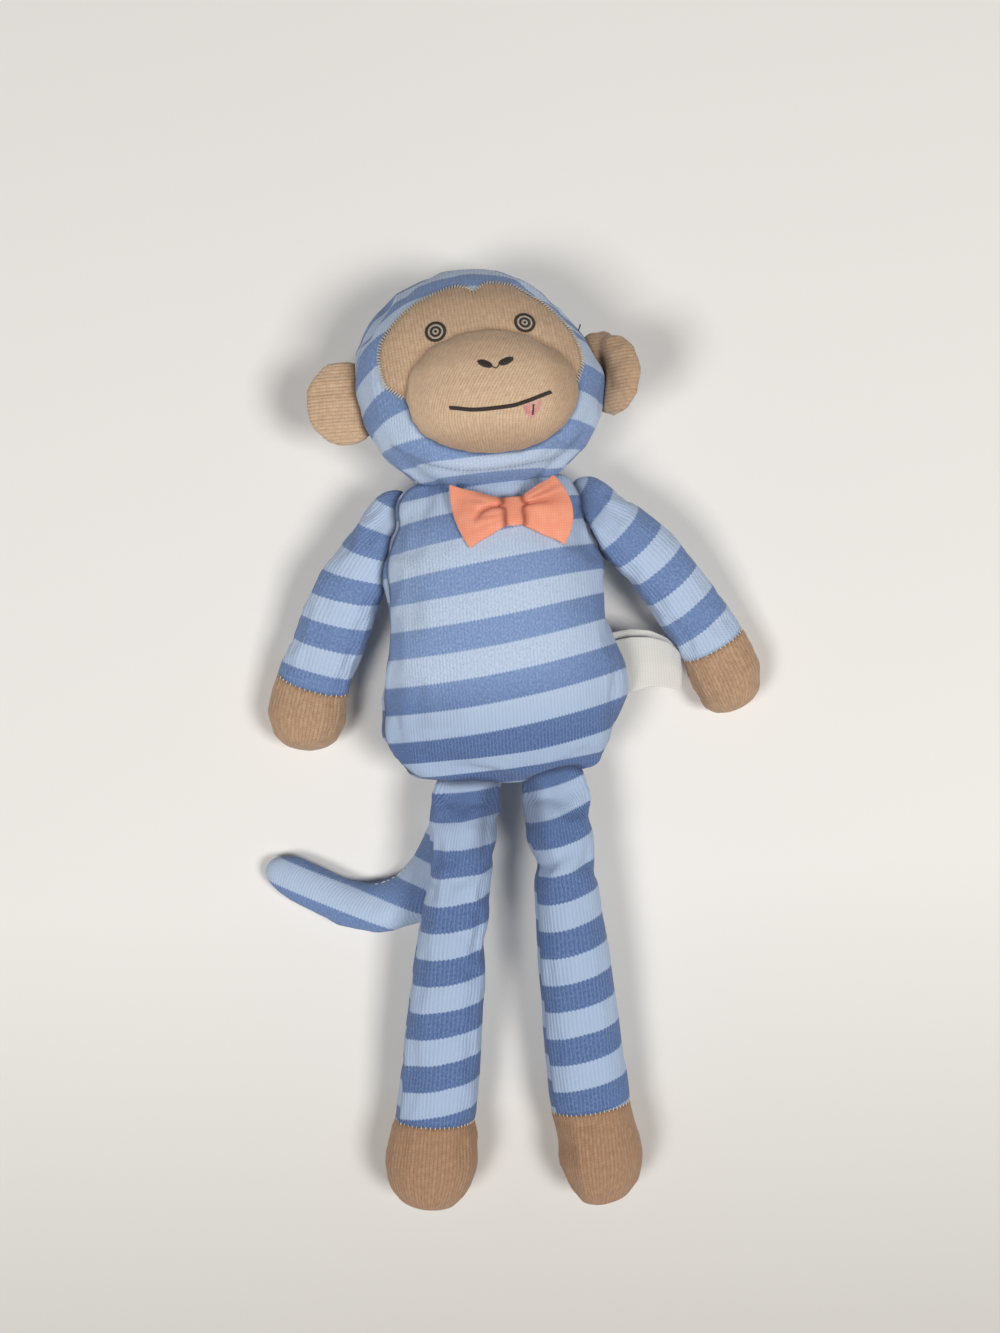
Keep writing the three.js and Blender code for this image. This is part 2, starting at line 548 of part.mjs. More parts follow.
piece("tail_filling", solid(grown(tailForm, -KNIT - GAP)).subtract(tailCut), stuffing());

// Bow: a flat loop of cloth, drawn in by a knot round its middle
const knotHalf = KNOT_WIDTH / 2 + GAP;
const waist = KNOT_HEIGHT / 2 - BOW_CLOTH - GAP;
function bowTie(halfX, halfY, depth) {
  const shape = new THREE.Shape();
  shape.moveTo(knotHalf, -waist);
  shape.quadraticCurveTo(0.55 * halfX, -0.9 * halfY, halfX, -halfY);
  shape.lineTo(halfX, halfY);
  shape.quadraticCurveTo(0.55 * halfX, 0.9 * halfY, knotHalf, waist);
  shape.lineTo(-knotHalf, waist);
  shape.quadraticCurveTo(-0.55 * halfX, 0.9 * halfY, -halfX, halfY);
  shape.lineTo(-halfX, -halfY);
  shape.quadraticCurveTo(-0.55 * halfX, -0.9 * halfY, -knotHalf, -waist);
  shape.closePath();
  const geometry = new THREE.ExtrudeGeometry(shape, { depth, bevelEnabled: false, curveSegments: 5 });
  geometry.translate(0, 0, -depth / 2);
  return geometry;
}
const loopForm = bowTie(BOW_WIDTH / 2, BOW_HEIGHT / 2, BOW_DEPTH);
const boreDepth = BOW_DEPTH - 2 * BOW_CLOTH;
const loopBore = new THREE.BoxGeometry(BOW_WIDTH - 2 * BOW_CLOTH, 2 * BOW_HEIGHT, boreDepth);
const knotDepth = BOW_DEPTH + 2 * BOW_CLOTH + 2 * GAP;
const knotForm = new THREE.BoxGeometry(KNOT_WIDTH, KNOT_HEIGHT, knotDepth);
const knotBore = new THREE.BoxGeometry(2 * KNOT_WIDTH, 2 * (waist + GAP), BOW_DEPTH + 2 * GAP);
const chestAt = (neck - BOW_DROP - bottomSeam) / (TORSO_LENGTH * (1 + neckCap));
const overChest = torsoSpine.getPointAt(chestAt).setX(BOW_OFFSET).setZ(2 * TORSO_DEPTH);
const chest = new THREE.Raycaster(overChest, Z.clone().negate());
const chestMesh = new THREE.Mesh(torsoForm, stripedKnit());
const chestLevel = chest.intersectObject(chestMesh)[0].point.z;
const bowMiddle = new THREE.Vector3(BOW_OFFSET, neck - BOW_DROP, chestLevel + knotDepth / 2 - BOW_CLOTH);
for (const geometry of [loopForm, loopBore, knotForm, knotBore]) {
  geometry.rotateZ(THREE.MathUtils.degToRad(BOW_TILT));
  geometry.translate(bowMiddle.x, bowMiddle.y, bowMiddle.z);
}
const torsoSpace = solid(torsoGrown);
piece("bow_loop", solid(loopForm).subtract(solid(loopBore)).subtract(torsoSpace), material(0xf5987b, 0.85));
piece("bow_knot", solid(knotForm).subtract(solid(knotBore)).subtract(torsoSpace), material(0xf2997f, 0.85));

// Label: a strip folded double, held in the right side seam and hanging down towards the table
const foldOuter = 1.5 * LABEL_CLOTH + GAP;
const foldInner = 0.5 * LABEL_CLOTH + GAP;
const fold = new THREE.Shape();
fold.moveTo(0, -foldOuter);
fold.lineTo(LABEL_LENGTH - foldOuter, -foldOuter);
fold.absarc(LABEL_LENGTH - foldOuter, 0, foldOuter, -Math.PI / 2, Math.PI / 2, false);
fold.lineTo(0, foldOuter);
fold.lineTo(0, foldInner);
fold.lineTo(LABEL_LENGTH - foldOuter, foldInner);
fold.absarc(LABEL_LENGTH - foldOuter, 0, foldInner, Math.PI / 2, -Math.PI / 2, true);
fold.lineTo(0, -foldInner);
fold.closePath();
const labelSteps = { depth: LABEL_WIDTH, bevelEnabled: false, curveSegments: 6 };
const labelForm = new THREE.ExtrudeGeometry(fold, labelSteps);
labelForm.translate(-SEAM_ALLOWANCE, 0, -LABEL_WIDTH / 2);
labelForm.rotateX(Math.PI / 2);
labelForm.rotateY(THREE.MathUtils.degToRad(LABEL_SAG));
labelForm.translate(0.49 * TORSO_WIDTH, -LABEL_DROP, midTorso);
const armSpace = swept(grown(arms.right.form, GAP), arms.right.shoulder, X, [0, -5, -10, -15]);
const labelCut = torsoSpace.add(armSpace);
const labelParts = solid(labelForm).subtract(labelCut).decompose();
labelParts.sort((a, b) => b.volume() - a.volume());
piece("side_label", labelParts[0], material(0xd6d3cc, 0.9));

export default toy;
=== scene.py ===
# %% [markdown]
# # A soft monkey rattle
# The toy is sewn from two knitted cloths: a blue striped one for the body, the head, the sleeves, the trouser legs
# and the tail, and a plain tan one for the face, muzzle, ears, hands and feet. Everything is filled with loose
# fibre, and a plastic rattle sits in the belly. The imported CAD model is the frame: every piece made here lies where
# its solids lie, and the pieces that ride on a body are attached to it.

# %% Load the frame
import json
import math

import bpy
import numpy as np
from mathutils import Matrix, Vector
from mathutils.bvhtree import BVHTree


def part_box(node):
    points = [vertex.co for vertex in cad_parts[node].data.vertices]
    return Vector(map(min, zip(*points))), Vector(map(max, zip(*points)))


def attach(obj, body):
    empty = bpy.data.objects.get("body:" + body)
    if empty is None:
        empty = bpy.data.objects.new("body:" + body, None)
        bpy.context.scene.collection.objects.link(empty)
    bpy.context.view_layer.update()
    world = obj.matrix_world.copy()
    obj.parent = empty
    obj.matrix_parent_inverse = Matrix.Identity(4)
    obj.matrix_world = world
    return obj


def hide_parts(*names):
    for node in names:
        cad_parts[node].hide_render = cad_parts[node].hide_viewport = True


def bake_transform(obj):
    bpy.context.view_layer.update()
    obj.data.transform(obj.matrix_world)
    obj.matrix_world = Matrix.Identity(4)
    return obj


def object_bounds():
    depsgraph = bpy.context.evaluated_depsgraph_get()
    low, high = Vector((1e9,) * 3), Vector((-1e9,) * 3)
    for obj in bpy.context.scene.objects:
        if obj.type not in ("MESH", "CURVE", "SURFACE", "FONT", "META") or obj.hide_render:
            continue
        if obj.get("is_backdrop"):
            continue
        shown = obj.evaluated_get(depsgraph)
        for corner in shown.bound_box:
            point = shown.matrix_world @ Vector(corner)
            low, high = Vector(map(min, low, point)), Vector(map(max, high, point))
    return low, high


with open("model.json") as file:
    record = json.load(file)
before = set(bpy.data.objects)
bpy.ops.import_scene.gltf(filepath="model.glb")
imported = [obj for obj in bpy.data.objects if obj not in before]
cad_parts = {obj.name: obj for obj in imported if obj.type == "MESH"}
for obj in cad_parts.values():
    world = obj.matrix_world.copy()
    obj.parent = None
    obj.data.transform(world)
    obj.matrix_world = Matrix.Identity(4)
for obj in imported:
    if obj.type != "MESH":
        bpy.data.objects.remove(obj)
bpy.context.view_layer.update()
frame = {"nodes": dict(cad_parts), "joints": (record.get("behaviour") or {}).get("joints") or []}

MM = 0.001
joints = {joint["name"]: np.array(joint["pos_m"]) / MM for joint in frame["joints"] if joint["type"] == "hinge"}

# %% [markdown]
# ## Small helpers
# Operators act on what is selected, so `pick` clears the selection first. `points` and `put` read and write the
# vertices of a piece as one array in millimetres, which is how a shape is measured and set in code. `edit` opens a
# piece with everything selected, and `thicken` makes cloth of a sheet.

# %% Selection and vertices
def pick(*pieces):
    bpy.ops.object.select_all(action="DESELECT")
    for piece in pieces:
        piece.select_set(True)
    bpy.context.view_layer.objects.active = pieces[0]


def points(piece):
    flat = np.empty(3 * len(piece.data.vertices), np.float32)
    piece.data.vertices.foreach_get("co", flat)
    return flat.reshape(-1, 3).astype(float) / MM


def put(piece, places):
    piece.data.vertices.foreach_set("co", (places * MM).astype(np.float32).ravel())
    piece.data.update()


def apply_modifier(piece, kind, **settings):
    modifier = piece.modifiers.new(kind.title(), kind)
    for key, value in settings.items():
        setattr(modifier, key, value)
    pick(piece)
    bpy.ops.object.modifier_apply(modifier=modifier.name)


def edit(piece):
    pick(piece)
    bpy.ops.object.mode_set(mode="EDIT")
    bpy.ops.mesh.select_all(action="SELECT")


def face_outwards():
    bpy.ops.mesh.select_all(action="SELECT")
    bpy.ops.mesh.normals_make_consistent(inside=False)
    bpy.ops.object.mode_set(mode="OBJECT")


def thicken(piece, thickness, offset):
    apply_modifier(piece, "SOLIDIFY", thickness=thickness * MM, offset=offset)
    apply_modifier(piece, "SUBSURF", levels=1, render_levels=1)
    edit(piece)
    face_outwards()
    bpy.ops.object.shade_smooth()


def smoothstep(low, high, x):
    t = np.clip((x - low) / (high - low), 0, 1)
    return t * t * (3 - 2 * t)


def unit(vectors):
    return vectors / np.linalg.norm(vectors, axis=-1, keepdims=True)


def show_box(label, piece):
    print(label, "box in mm:", points(piece).min(0).round(1), points(piece).max(0).round(1))

# %% [markdown]
# ## Camera, table and light
# The toy lies on its back and is looked at from straight above, so the camera hangs over it and looks down. A
# small turn about the upright axis gives the lean of the toy in the picture. The light comes from two soft lamps,
# left and right of the toy and a little towards its feet, so the brow and the crown are the darker side and
# both sides of a limb have a soft shadow. A pale sky fills in, brighter at the horizon than overhead.

# %% Camera, table and lamps
CAMERA_PLACE = (-0.94, -13.4, 620)  # mm
TOY_LEAN = -4  # degrees
TABLE_SIZE, LAMP_SIZE = 2.8, 0.6  # m
bpy.ops.object.camera_add(location=[c * MM for c in CAMERA_PLACE], rotation=(0, 0, math.radians(TOY_LEAN)))
camera = bpy.context.object
camera.data.lens = 42.1
camera.data.sensor_width = 36
camera.data.clip_start = 0.01
bpy.context.scene.camera = camera
bpy.context.scene.view_settings.view_transform = "Standard"

bpy.ops.mesh.primitive_plane_add(size=TABLE_SIZE)
table = bpy.context.object
table.name = "table"
table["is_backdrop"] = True


def lamp(name, place, watts):
    bpy.ops.object.light_add(type="AREA", location=place)
    light = bpy.context.object
    light.name = name
    light.data.size = LAMP_SIZE
    light.data.energy = watts
    light.rotation_euler = Vector(place).to_track_quat("Z", "Y").to_euler()


lamp("left_window", (-0.85, -0.5, 1.7), 17.3)
lamp("right_window", (0.88, -0.4, 1.7), 21)
world = bpy.data.worlds.new("pale room")
world.use_nodes = True
bpy.context.scene.world = world
print("camera at", [round(x / MM) for x in camera.location], "mm")

# %% [markdown]
# ## Colours and the node helper
# Colours are written as the hex values that a screen shows, and one function turns them to the linear values
# that the shader works in. One function adds any node, sets it up and links it. A link names a node, whose usual
# output is taken, or one of its sockets, and a hex value sets a colour. `coat` puts a colour and a relief on.

# %% Colour and node helper
def linear(hex_colour):
    values = [int(hex_colour[i:i + 2], 16) / 255 for i in (1, 3, 5)]
    return [v / 12.92 if v <= 0.04045 else ((v + 0.055) / 1.055) ** 2.4 for v in values] + [1]


# where the colour of a mix, the factor of an attribute or a wave, and the object coordinates come out
USUAL_OUTPUT = {"ShaderNodeMix": 2, "ShaderNodeAttribute": 2, "ShaderNodeTexWave": 1, "ShaderNodeTexCoord": 3}


def add(tree, kind, links=None, **settings):
    node = tree.nodes.new("ShaderNode" + kind)
    if kind == "Mix":
        node.data_type = "RGBA"
    for key, value in settings.items():
        setattr(node, key, value)
    for socket, source in (links or {}).items():
        if isinstance(source, bpy.types.Node):
            source = source.outputs[USUAL_OUTPUT.get(source.bl_idname, 0)]
        if isinstance(source, bpy.types.NodeSocket):
            tree.links.new(source, node.inputs[socket])
        else:
            node.inputs[socket].default_value = linear(source) if isinstance(source, str) else source
    return node


def new_material(name, **sockets):
    material = bpy.data.materials.new(name)
    material.use_nodes = True
    shader = material.node_tree.nodes["Principled BSDF"]
    for socket, value in sockets.items():
        shader.inputs[socket.replace("_", " ")].default_value = value
    return material, material.node_tree, shader


def coat(tree, shader, colour, height, strength, depth):
    bump = add(tree, "Bump", {"Strength": strength, "Distance": depth * MM, "Height": height})
    tree.links.new(bump.outputs["Normal"], shader.inputs["Normal"])
    tree.links.new(colour.outputs[2], shader.inputs["Base Color"])

# %% [markdown]
# ## Sky and table
# The sky fades from the horizon upwards. The table is a pale matt laminate. Only a slow change of tone shows from
# above, over a third of a metre, and shade is painted on it towards the near edge, which is a little darker.

# %% Sky and laminate
sky = world.node_tree
where = add(sky, "TexCoord")
up = add(sky, "SeparateXYZ", {0: where.outputs["Generated"]})
bright = add(sky, "MapRange", {"Value": up.outputs["Z"], "From Min": 0.05, "From Max": 0.45,
                               "To Min": 0.6, "To Max": 0.06})
background = sky.nodes["Background"]
background.inputs["Color"].default_value = (0.97, 0.985, 1.0, 1)
sky.links.new(bright.outputs[0], background.inputs["Strength"])
laminate, tree, shader = new_material("pale laminate", Roughness=0.75)
where = add(tree, "TexCoord")
clouds = add(tree, "TexNoise", {"Vector": where, "Scale": 3.0, "Detail": 1.0})
tone = add(tree, "Mix", {0: clouds, 6: "#EFEBE5", 7: "#F4F0EA"})
place = add(tree, "SeparateXYZ", {0: where})
# painted shade: the table darkens towards the near edge
near = add(tree, "MapRange", {"Value": place.outputs["Y"], "From Min": -0.1, "From Max": -0.3, "To Max": 1.0})
painted_near_shade = add(tree, "Mix", {0: near, 6: tone, 7: "#CFCBC4"})
tree.links.new(painted_near_shade.outputs[2], shader.inputs["Base Color"])
table.data.materials.append(laminate)
print("sky and", laminate.name)

# %% [markdown]
# ## Jersey knit
# Both cloths are jersey, a fine machine knit. Seen close, jersey is made of upright ribs, the wales, and each rib
# is a column of small V stitches. The pattern needs two measures on every piece: how far a point is across the
# wales and how far it is along them. They are stored as a UV map called `knit`, in millimetres, so a wale is as
# wide on a sleeve as on the belly. The ribs are a folded ramp across, and the V is the same ramp added to the
# count along. The real wales are about 1.1 mm apart, drawn here at 1.3 mm so that the render can show them.

# %% The V stitch pattern
WALE = 1.3
COURSE = 1.15
STRIPES = 20.5  # one dark and one light band
RELIEF_DEPTH = 0.35
MOST_SHADE = 0.82  # how far the deepest painted shade goes to its dark colour


def knit_nodes(tree):
    cloth = add(tree, "UVMap", uv_map="knit")
    along = add(tree, "SeparateXYZ", {0: cloth})
    wales = add(tree, "Math", {0: along.outputs["X"], 1: 1 / WALE}, operation="MULTIPLY")
    fold = add(tree, "Math", {0: wales, 1: 0.5}, operation="PINGPONG")
    rib = add(tree, "Math", {0: fold, 1: 2.0}, operation="MULTIPLY")
    courses = add(tree, "Math", {0: along.outputs["Y"], 1: 1 / COURSE}, operation="MULTIPLY")
    slanted = add(tree, "Math", {0: rib, 1: 0.7, 2: courses}, operation="MULTIPLY_ADD")
    leg = add(tree, "Math", {0: slanted, 1: 0.5}, operation="PINGPONG")
    crest = add(tree, "Math", {0: rib, 1: 0.6}, operation="POWER")
    relief = add(tree, "Math", {0: leg, 1: 0.7, 2: crest}, operation="MULTIPLY_ADD")
    return cloth, along.outputs["Y"], rib, relief


# painted shade: the colour is mixed towards a dark shade colour as far as the attribute says
def mix_painted_shade(tree, colour, most, shade):
    crease_and_painted_shade = add(tree, "Attribute", attribute_name="crease_and_painted_shade")
    depth = add(tree, "Math", {0: crease_and_painted_shade, 1: most}, operation="MULTIPLY")
    return add(tree, "Mix", {0: depth, 6: colour, 7: shade})


def finish_knit(tree, shader, colour, relief, strength, shade):
    coat(tree, shader, mix_painted_shade(tree, colour, MOST_SHADE, shade), relief, strength, RELIEF_DEPTH)

# %% [markdown]
# ## The striped jersey
# Marled cotton: each yarn twists a pale and a blue thread, so the blue bands are flecked with pale dots and the
# pale ones with grey. Where a band starts, its edge steps from stitch to stitch, so the band is read from the
# slanted count. Where the filling stretches the cloth, as on the belly, the stitches open and both bands get paler.
# That is read from an attribute, which also carries painted light: the top and left flank of the body, the chin and
# the sleeves are made paler, as the light falls on them. Elsewhere the cloth is dense and its ribs show.

# %% Striped jersey
striped, tree, shader = new_material("striped marl jersey", Roughness=0.92, Sheen_Weight=0.1, Sheen_Roughness=0.5)
cloth, along, rib, relief = knit_nodes(tree)
step = add(tree, "Math", {0: rib, 1: 0.55, 2: along}, operation="MULTIPLY_ADD")
turn = add(tree, "Math", {0: step, 1: 2 * math.pi / STRIPES}, operation="MULTIPLY")
wave = add(tree, "Math", {0: turn}, operation="COSINE")
band = add(tree, "MapRange", {"Value": wave, "From Min": -0.07, "From Max": 0.07})
grain = add(tree, "Mapping", {"Vector": cloth, "Scale": (1.5, 0.95, 1)})
fleck = add(tree, "TexNoise", {"Vector": grain, "Scale": 1.0, "Detail": 2.0, "Roughness": 0.6})
stretch_and_painted_light = add(tree, "Attribute", attribute_name="stretch_and_painted_light")
most = add(tree, "MapRange", {"Value": stretch_and_painted_light, "To Min": 0.8, "To Max": 0.68})
spots = add(tree, "MapRange", {"Value": fleck, "From Min": 0.42, "From Max": most})
gap = add(tree, "MapRange", {"Value": rib, "From Min": 0.5, "From Max": 0.0})
thin = add(tree, "MapRange", {"Value": stretch_and_painted_light, "To Min": 0.5, "To Max": 0.15})
show = add(tree, "Math", {0: gap, 1: thin}, operation="MULTIPLY")


def yarn(dense, opened, fleck, opened_fleck, between):
    ground = add(tree, "Mix", {0: stretch_and_painted_light, 6: dense, 7: opened})
    dots = add(tree, "Mix", {0: stretch_and_painted_light, 6: fleck, 7: opened_fleck})
    marled = add(tree, "Mix", {0: spots, 6: ground, 7: dots})
    return add(tree, "Mix", {0: show, 6: marled, 7: between})


pale = yarn("#A9BBD5", "#CAD9ED", "#B2C3DD", "#B2C3DD", "#9DB1D1")
blue = yarn("#47608F", "#7B95C4", "#6E85B1", "#9BB1D4", "#7F97C2")
stripes = add(tree, "Mix", {0: band, 6: pale, 7: blue})
finish_knit(tree, shader, stripes, relief, 0.6, "#353E58")
print(striped.name, "with bands", STRIPES / 2, "mm wide")

# %% [markdown]
# ## The tan jersey
# The same knit in one tan yarn, with darker lines between the wales and light fibres on top. The face, muzzle, ears,
# hands and feet are all of this one cloth: its four copies differ in tone only by painted light and shade, the muzzle
# lightest and the feet darkest.

# %% Tan jersey
def tan_jersey(name, deep, plain, high):
    material, tree, shader = new_material(name, Roughness=0.92, Sheen_Weight=0.12, Sheen_Roughness=0.5)
    cloth, _, _, relief = knit_nodes(tree)
    grain = add(tree, "Mapping", {"Vector": cloth, "Scale": (0.8, 0.45, 1)})
    fleck = add(tree, "TexNoise", {"Vector": grain, "Scale": 1.0, "Detail": 2.0, "Roughness": 0.6})
    fibres = add(tree, "MapRange", {"Value": fleck, "From Min": 0.35, "From Max": 0.7})
    body = add(tree, "Mix", {0: fibres, 6: plain, 7: high})
    gap = add(tree, "MapRange", {"Value": relief, "From Min": 0.75, "From Max": 0.1, "To Max": 0.65})
    colour = add(tree, "Mix", {0: gap, 6: body, 7: deep})
    finish_knit(tree, shader, colour, relief, 0.5, "#6B4729")
    return material


# painted light and shade: one tan cloth in four tones
face_tan = tan_jersey("tan jersey of the face", "#947456", "#C6A383", "#D7B999")
muzzle_tan = tan_jersey("tan jersey of the muzzle", "#9A7B5E", "#CEAC8C", "#DFC2A3")
hand_tan = tan_jersey("tan jersey of the hands", "#84634A", "#B18C6C", "#C4A283")
foot_tan = tan_jersey("tan jersey of the feet", "#745540", "#A27C5F", "#B49071")
print("tan jerseys with wales", WALE, "mm apart")

# %% [markdown]
# ## Stuffed forms
# A stuffed toy is a bag of cloth blown up by its filling. Each form starts as a copy of its CAD solids, which a
# voxel remesh melts into one even skin. Then a cloth simulation blows it out, in which the cloth is slightly larger
# than the form and the seam vertices are held. So the cloth bulges between seams and puckers beside them, as it
# does on the toy. Smoothing takes about a millimetre off a thin form, which `swell` gives back. An extra ball at a
# shoulder or hip runs the form on into the body, where the seam hides it.

# %% Start a stuffed form
def ball(centre, half):
    bpy.ops.mesh.primitive_uv_sphere_add(segments=24, ring_count=16, radius=1)
    piece = bpy.context.object
    put(piece, points(piece) * MM * np.array(half) + np.array(centre))
    return piece


def stuffed_form(name, sources, voxel, swell, extra=(), smoothing=3):
    parts = []
    for node in sources:
        part = bpy.data.objects.new(node + "_copy", frame["nodes"][node].data.copy())
        bpy.context.scene.collection.objects.link(part)
        parts.append(part)
    parts += [ball(centre, half) for centre, half in extra]
    pick(*parts)
    bpy.ops.object.join()
    form = bpy.context.view_layer.objects.active
    form.name = name
    form.data.materials.clear()
    edit(form)
    bpy.ops.mesh.remove_doubles(threshold=1e-6)
    bpy.ops.object.mode_set(mode="OBJECT")
    form.data.remesh_voxel_size = voxel * MM
    bpy.ops.object.voxel_remesh()
    apply_modifier(form, "SMOOTH", factor=0.5, iterations=smoothing)
    apply_modifier(form, "DISPLACE", strength=swell * MM, mid_level=0.0)
    print(name, len(form.data.vertices), "vertices")
    return form

# %% [markdown]
# ## Spines
# Sleeves and trouser legs are tubes, and their stripes and wales follow the tube. A spine is a smooth line through
# the limb's joint and the middles of two CAD nodes. `follow` gives, for every vertex, how far along the spine it
# lies, how far to the side, and the angle round it.

# %% Spine of a limb
def middle(node):
    low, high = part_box(node)
    return np.array((low + high) / 2) / MM


ROOT, TIP = 6, 46  # samples of a spine: it runs on a little before its root and after its tip


def spine_through(root, halfway, tip):
    first = np.linalg.norm(halfway - root)
    split = first / (first + np.linalg.norm(tip - halfway))
    t = (np.arange(TIP + 12) - ROOT)[:, None] / (TIP - ROOT)
    return (root * (t - split) * (t - 1) / split
            + halfway * t * (t - 1) / (split * (split - 1))
            + tip * t * (t - split) / (1 - split))


def follow(places, spine):
    steps = np.diff(spine, axis=0)
    lengths = np.linalg.norm(steps, axis=1)
    headings = steps / lengths[:, None]
    starts = np.concatenate([[0], np.cumsum(lengths)])
    far = np.linalg.norm(places[:, None, :] - (spine[None, :-1] + steps[None] / 2), axis=2)
    near = np.argmin(far, axis=1)
    offset = places - spine[near]
    run = np.einsum("ij,ij->i", offset, headings[near])
    away = offset - run[:, None] * headings[near]
    sideways = np.einsum("ij,ij->i", away, unit(np.cross([0, 0, 1], headings[near])))
    return starts[near] + run - starts[ROOT], sideways, np.arctan2(sideways, away[:, 2])

# %% [markdown]
# ## Where the seams run
# The body is sewn from a front and a back panel, and it lies a little rolled, so its left seam shows from above: the
# seam plane is tilted. The head's panels meet at half depth. A hand or foot is sewn on across the limb. These seams
# are given by a point on the limb's middle, the direction of the seam and how far its top leans to the fingertips.

# %% Seam planes and limb spines
SIDES = {"left": -1, "right": 1}
END = {"arm": "hand", "leg": "foot"}
BODY_ROLL = 0.17  # rise of the seam plane towards the left, as a slope
BODY_PITCH = 0.06  # and towards the neck
halfway_up = (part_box("torso_front_panel")[0].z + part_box("torso_back_panel")[1].z) / 2 / MM
body_seam = (np.array([0, 0, halfway_up]), np.array([BODY_ROLL, -BODY_PITCH, 1]))
head_seam = (middle("head_filling"), np.array([0, 0, 1.0]))
END_SEAMS = {("left", "arm"): ((-74.6, -13.6, 12), -22, 17), ("right", "arm"): ((82.5, -10.0, 12), 27, 12),
             ("left", "leg"): ((-37.6, -186.3, 16), -5, 0), ("right", "leg"): ((23.3, -184.8, 16), 5, 0)}
spines, limb_seams = {}, {}
for (side, limb), (place, turn, lean) in END_SEAMS.items():
    joint = joints[f"{side}_{limb}_swing"]
    spines[side, limb] = spine_through(joint, middle(f"{side}_{limb}_sleeve"), middle(f"{side}_{END[limb]}"))
    turn, lean = math.radians(turn), math.radians(lean)
    heading = np.array([math.sin(turn) * math.cos(lean), -math.cos(turn) * math.cos(lean), -math.sin(lean)])
    limb_seams[side, limb] = (np.array(place, float), heading)
    print(side, limb, "seam", follow(np.array([place]), spines[side, limb])[0].round(1), "mm from its joint")

# %% [markdown]
# ## The forms of the toy
# Body, head, muzzle, ears, arms, legs and tail each become one closed form. The body gets a ball in each shoulder,
# and the head a flat one below the chin, which is the neck that runs down into the body.

# %% All stuffed forms
body_form = stuffed_form("body_form", ["torso_front_panel", "torso_back_panel", "torso_front_filling",
                                       "torso_back_filling"], 3.0, 0.2,
                         [((sign * 24.5, 47, 31), (10.5, 11, 13)) for sign in SIDES.values()])
neck = joints["neck_turn"]
head_form = stuffed_form("head_form", ["head_front_panel", "head_back_panel", "head_filling"], 3.0, 2.0,
                         [(neck + [0, 5.5, -1], (27, 8, 22))])
muzzle_form = stuffed_form("muzzle_form", ["muzzle_panel", "muzzle_filling"], 2.2, 0.3)
tail_form = stuffed_form("tail_form", ["tail_sleeve", "tail_filling"], 2.2, 1.0, smoothing=9)
ear_forms, limb_forms = {}, {}
EAR_ROOT = {"left": [], "right": [((42.6, 102.5, 34.5), (5, 6.5, 4)), ((47, 103.5, 34.5), (6, 6, 4))]}
SWELL = {"arm": 1.2, "leg": 0.8}
JOINT_BALL = {"arm": (6.5, 6.5, 6.5), "leg": (10, 8, 6)}
for side in SIDES:
    sources = [f"{side}_ear_{part}" for part in ("front", "back", "filling")]
    ear_forms[side] = stuffed_form(f"{side}_ear_form", sources, 1.6, 0.5,
                                   [(joints[side + "_ear_fold"], (4, 10, 4))] + EAR_ROOT[side])
    for limb, end in END.items():
        sources = [f"{side}_{limb}_sleeve", f"{side}_{end}", f"{side}_{limb}_filling"]
        limb_forms[side, limb] = stuffed_form(f"{side}_{limb}_form", sources, 2.5, SWELL[limb],
                                              [(joints[f"{side}_{limb}_swing"], JOINT_BALL[limb])])

# %% [markdown]
# ## How the filling sits
# No two stuffed limbs are alike. The hands and feet are packed round at their tips, the sleeves bow outwards, and a
# sleeve or trouser leg is flat where the body's seam catches it. The right leg has a fold at its inner side, and so
# has the right ear. The body is a little slimmer on its right, the crown leans left, and the muzzle's top is pushed
# up on its left.

# %% Shape the forms
TIP_LENGTH = 24


def shape_limb(form, spine, pinch, shorten, root, bow, plump=0.0):
    places = points(form)
    along, sideways, angle = follow(places, spine)
    lengths = np.concatenate([[0], np.cumsum(np.linalg.norm(np.diff(spine, axis=0), axis=1))])
    axis = np.stack([np.interp(along, lengths - lengths[ROOT], spine[:, i]) for i in range(3)], axis=1)
    tip = smoothstep(along.max() - TIP_LENGTH, along.max(), along)[:, None]
    ahead = unit(spine[TIP] - spine[TIP - 6])
    places += (axis - places) * tip * pinch * [1, 1, 0.6] - tip * shorten * ahead
    places[:, 2] += (axis - places)[:, 2] * (1 - root) * smoothstep(18, 0, along)
    places[:, 0] += (bow + plump * smoothstep(-4, 8, sideways)) * np.exp(-((along - 65) / 38) ** 2)
    put(form, places)


# pinch and shortening at the tip, share of the depth left at the root, bow and added girth
LIMB_SHAPES = {("left", "arm"): (0.06, 2.9, 0.6, -2.3, 3.6), ("right", "arm"): (0.06, 1.5, 0.6, 2.7),
               ("left", "leg"): (0.17, 2.6, 0.65, 0.0), ("right", "leg"): (0.17, 2.2, 0.65, 0.0)}
for key, shape in LIMB_SHAPES.items():
    shape_limb(limb_forms[key], spines[key], *shape)


def gap_to(places, line):
    line = np.array(line, float)
    along = np.linspace(0, len(line) - 1, 60)
    dense = np.stack([np.interp(along, np.arange(len(line)), line[:, i]) for i in range(2)], axis=1)
    return gap_to_points(places, dense)


def gap_to_points(places, spots):
    return np.linalg.norm(places[:, None, :2] - spots[None], axis=2).min(1)


def hump(gap, width):
    return np.exp(-(gap / width) ** 2)


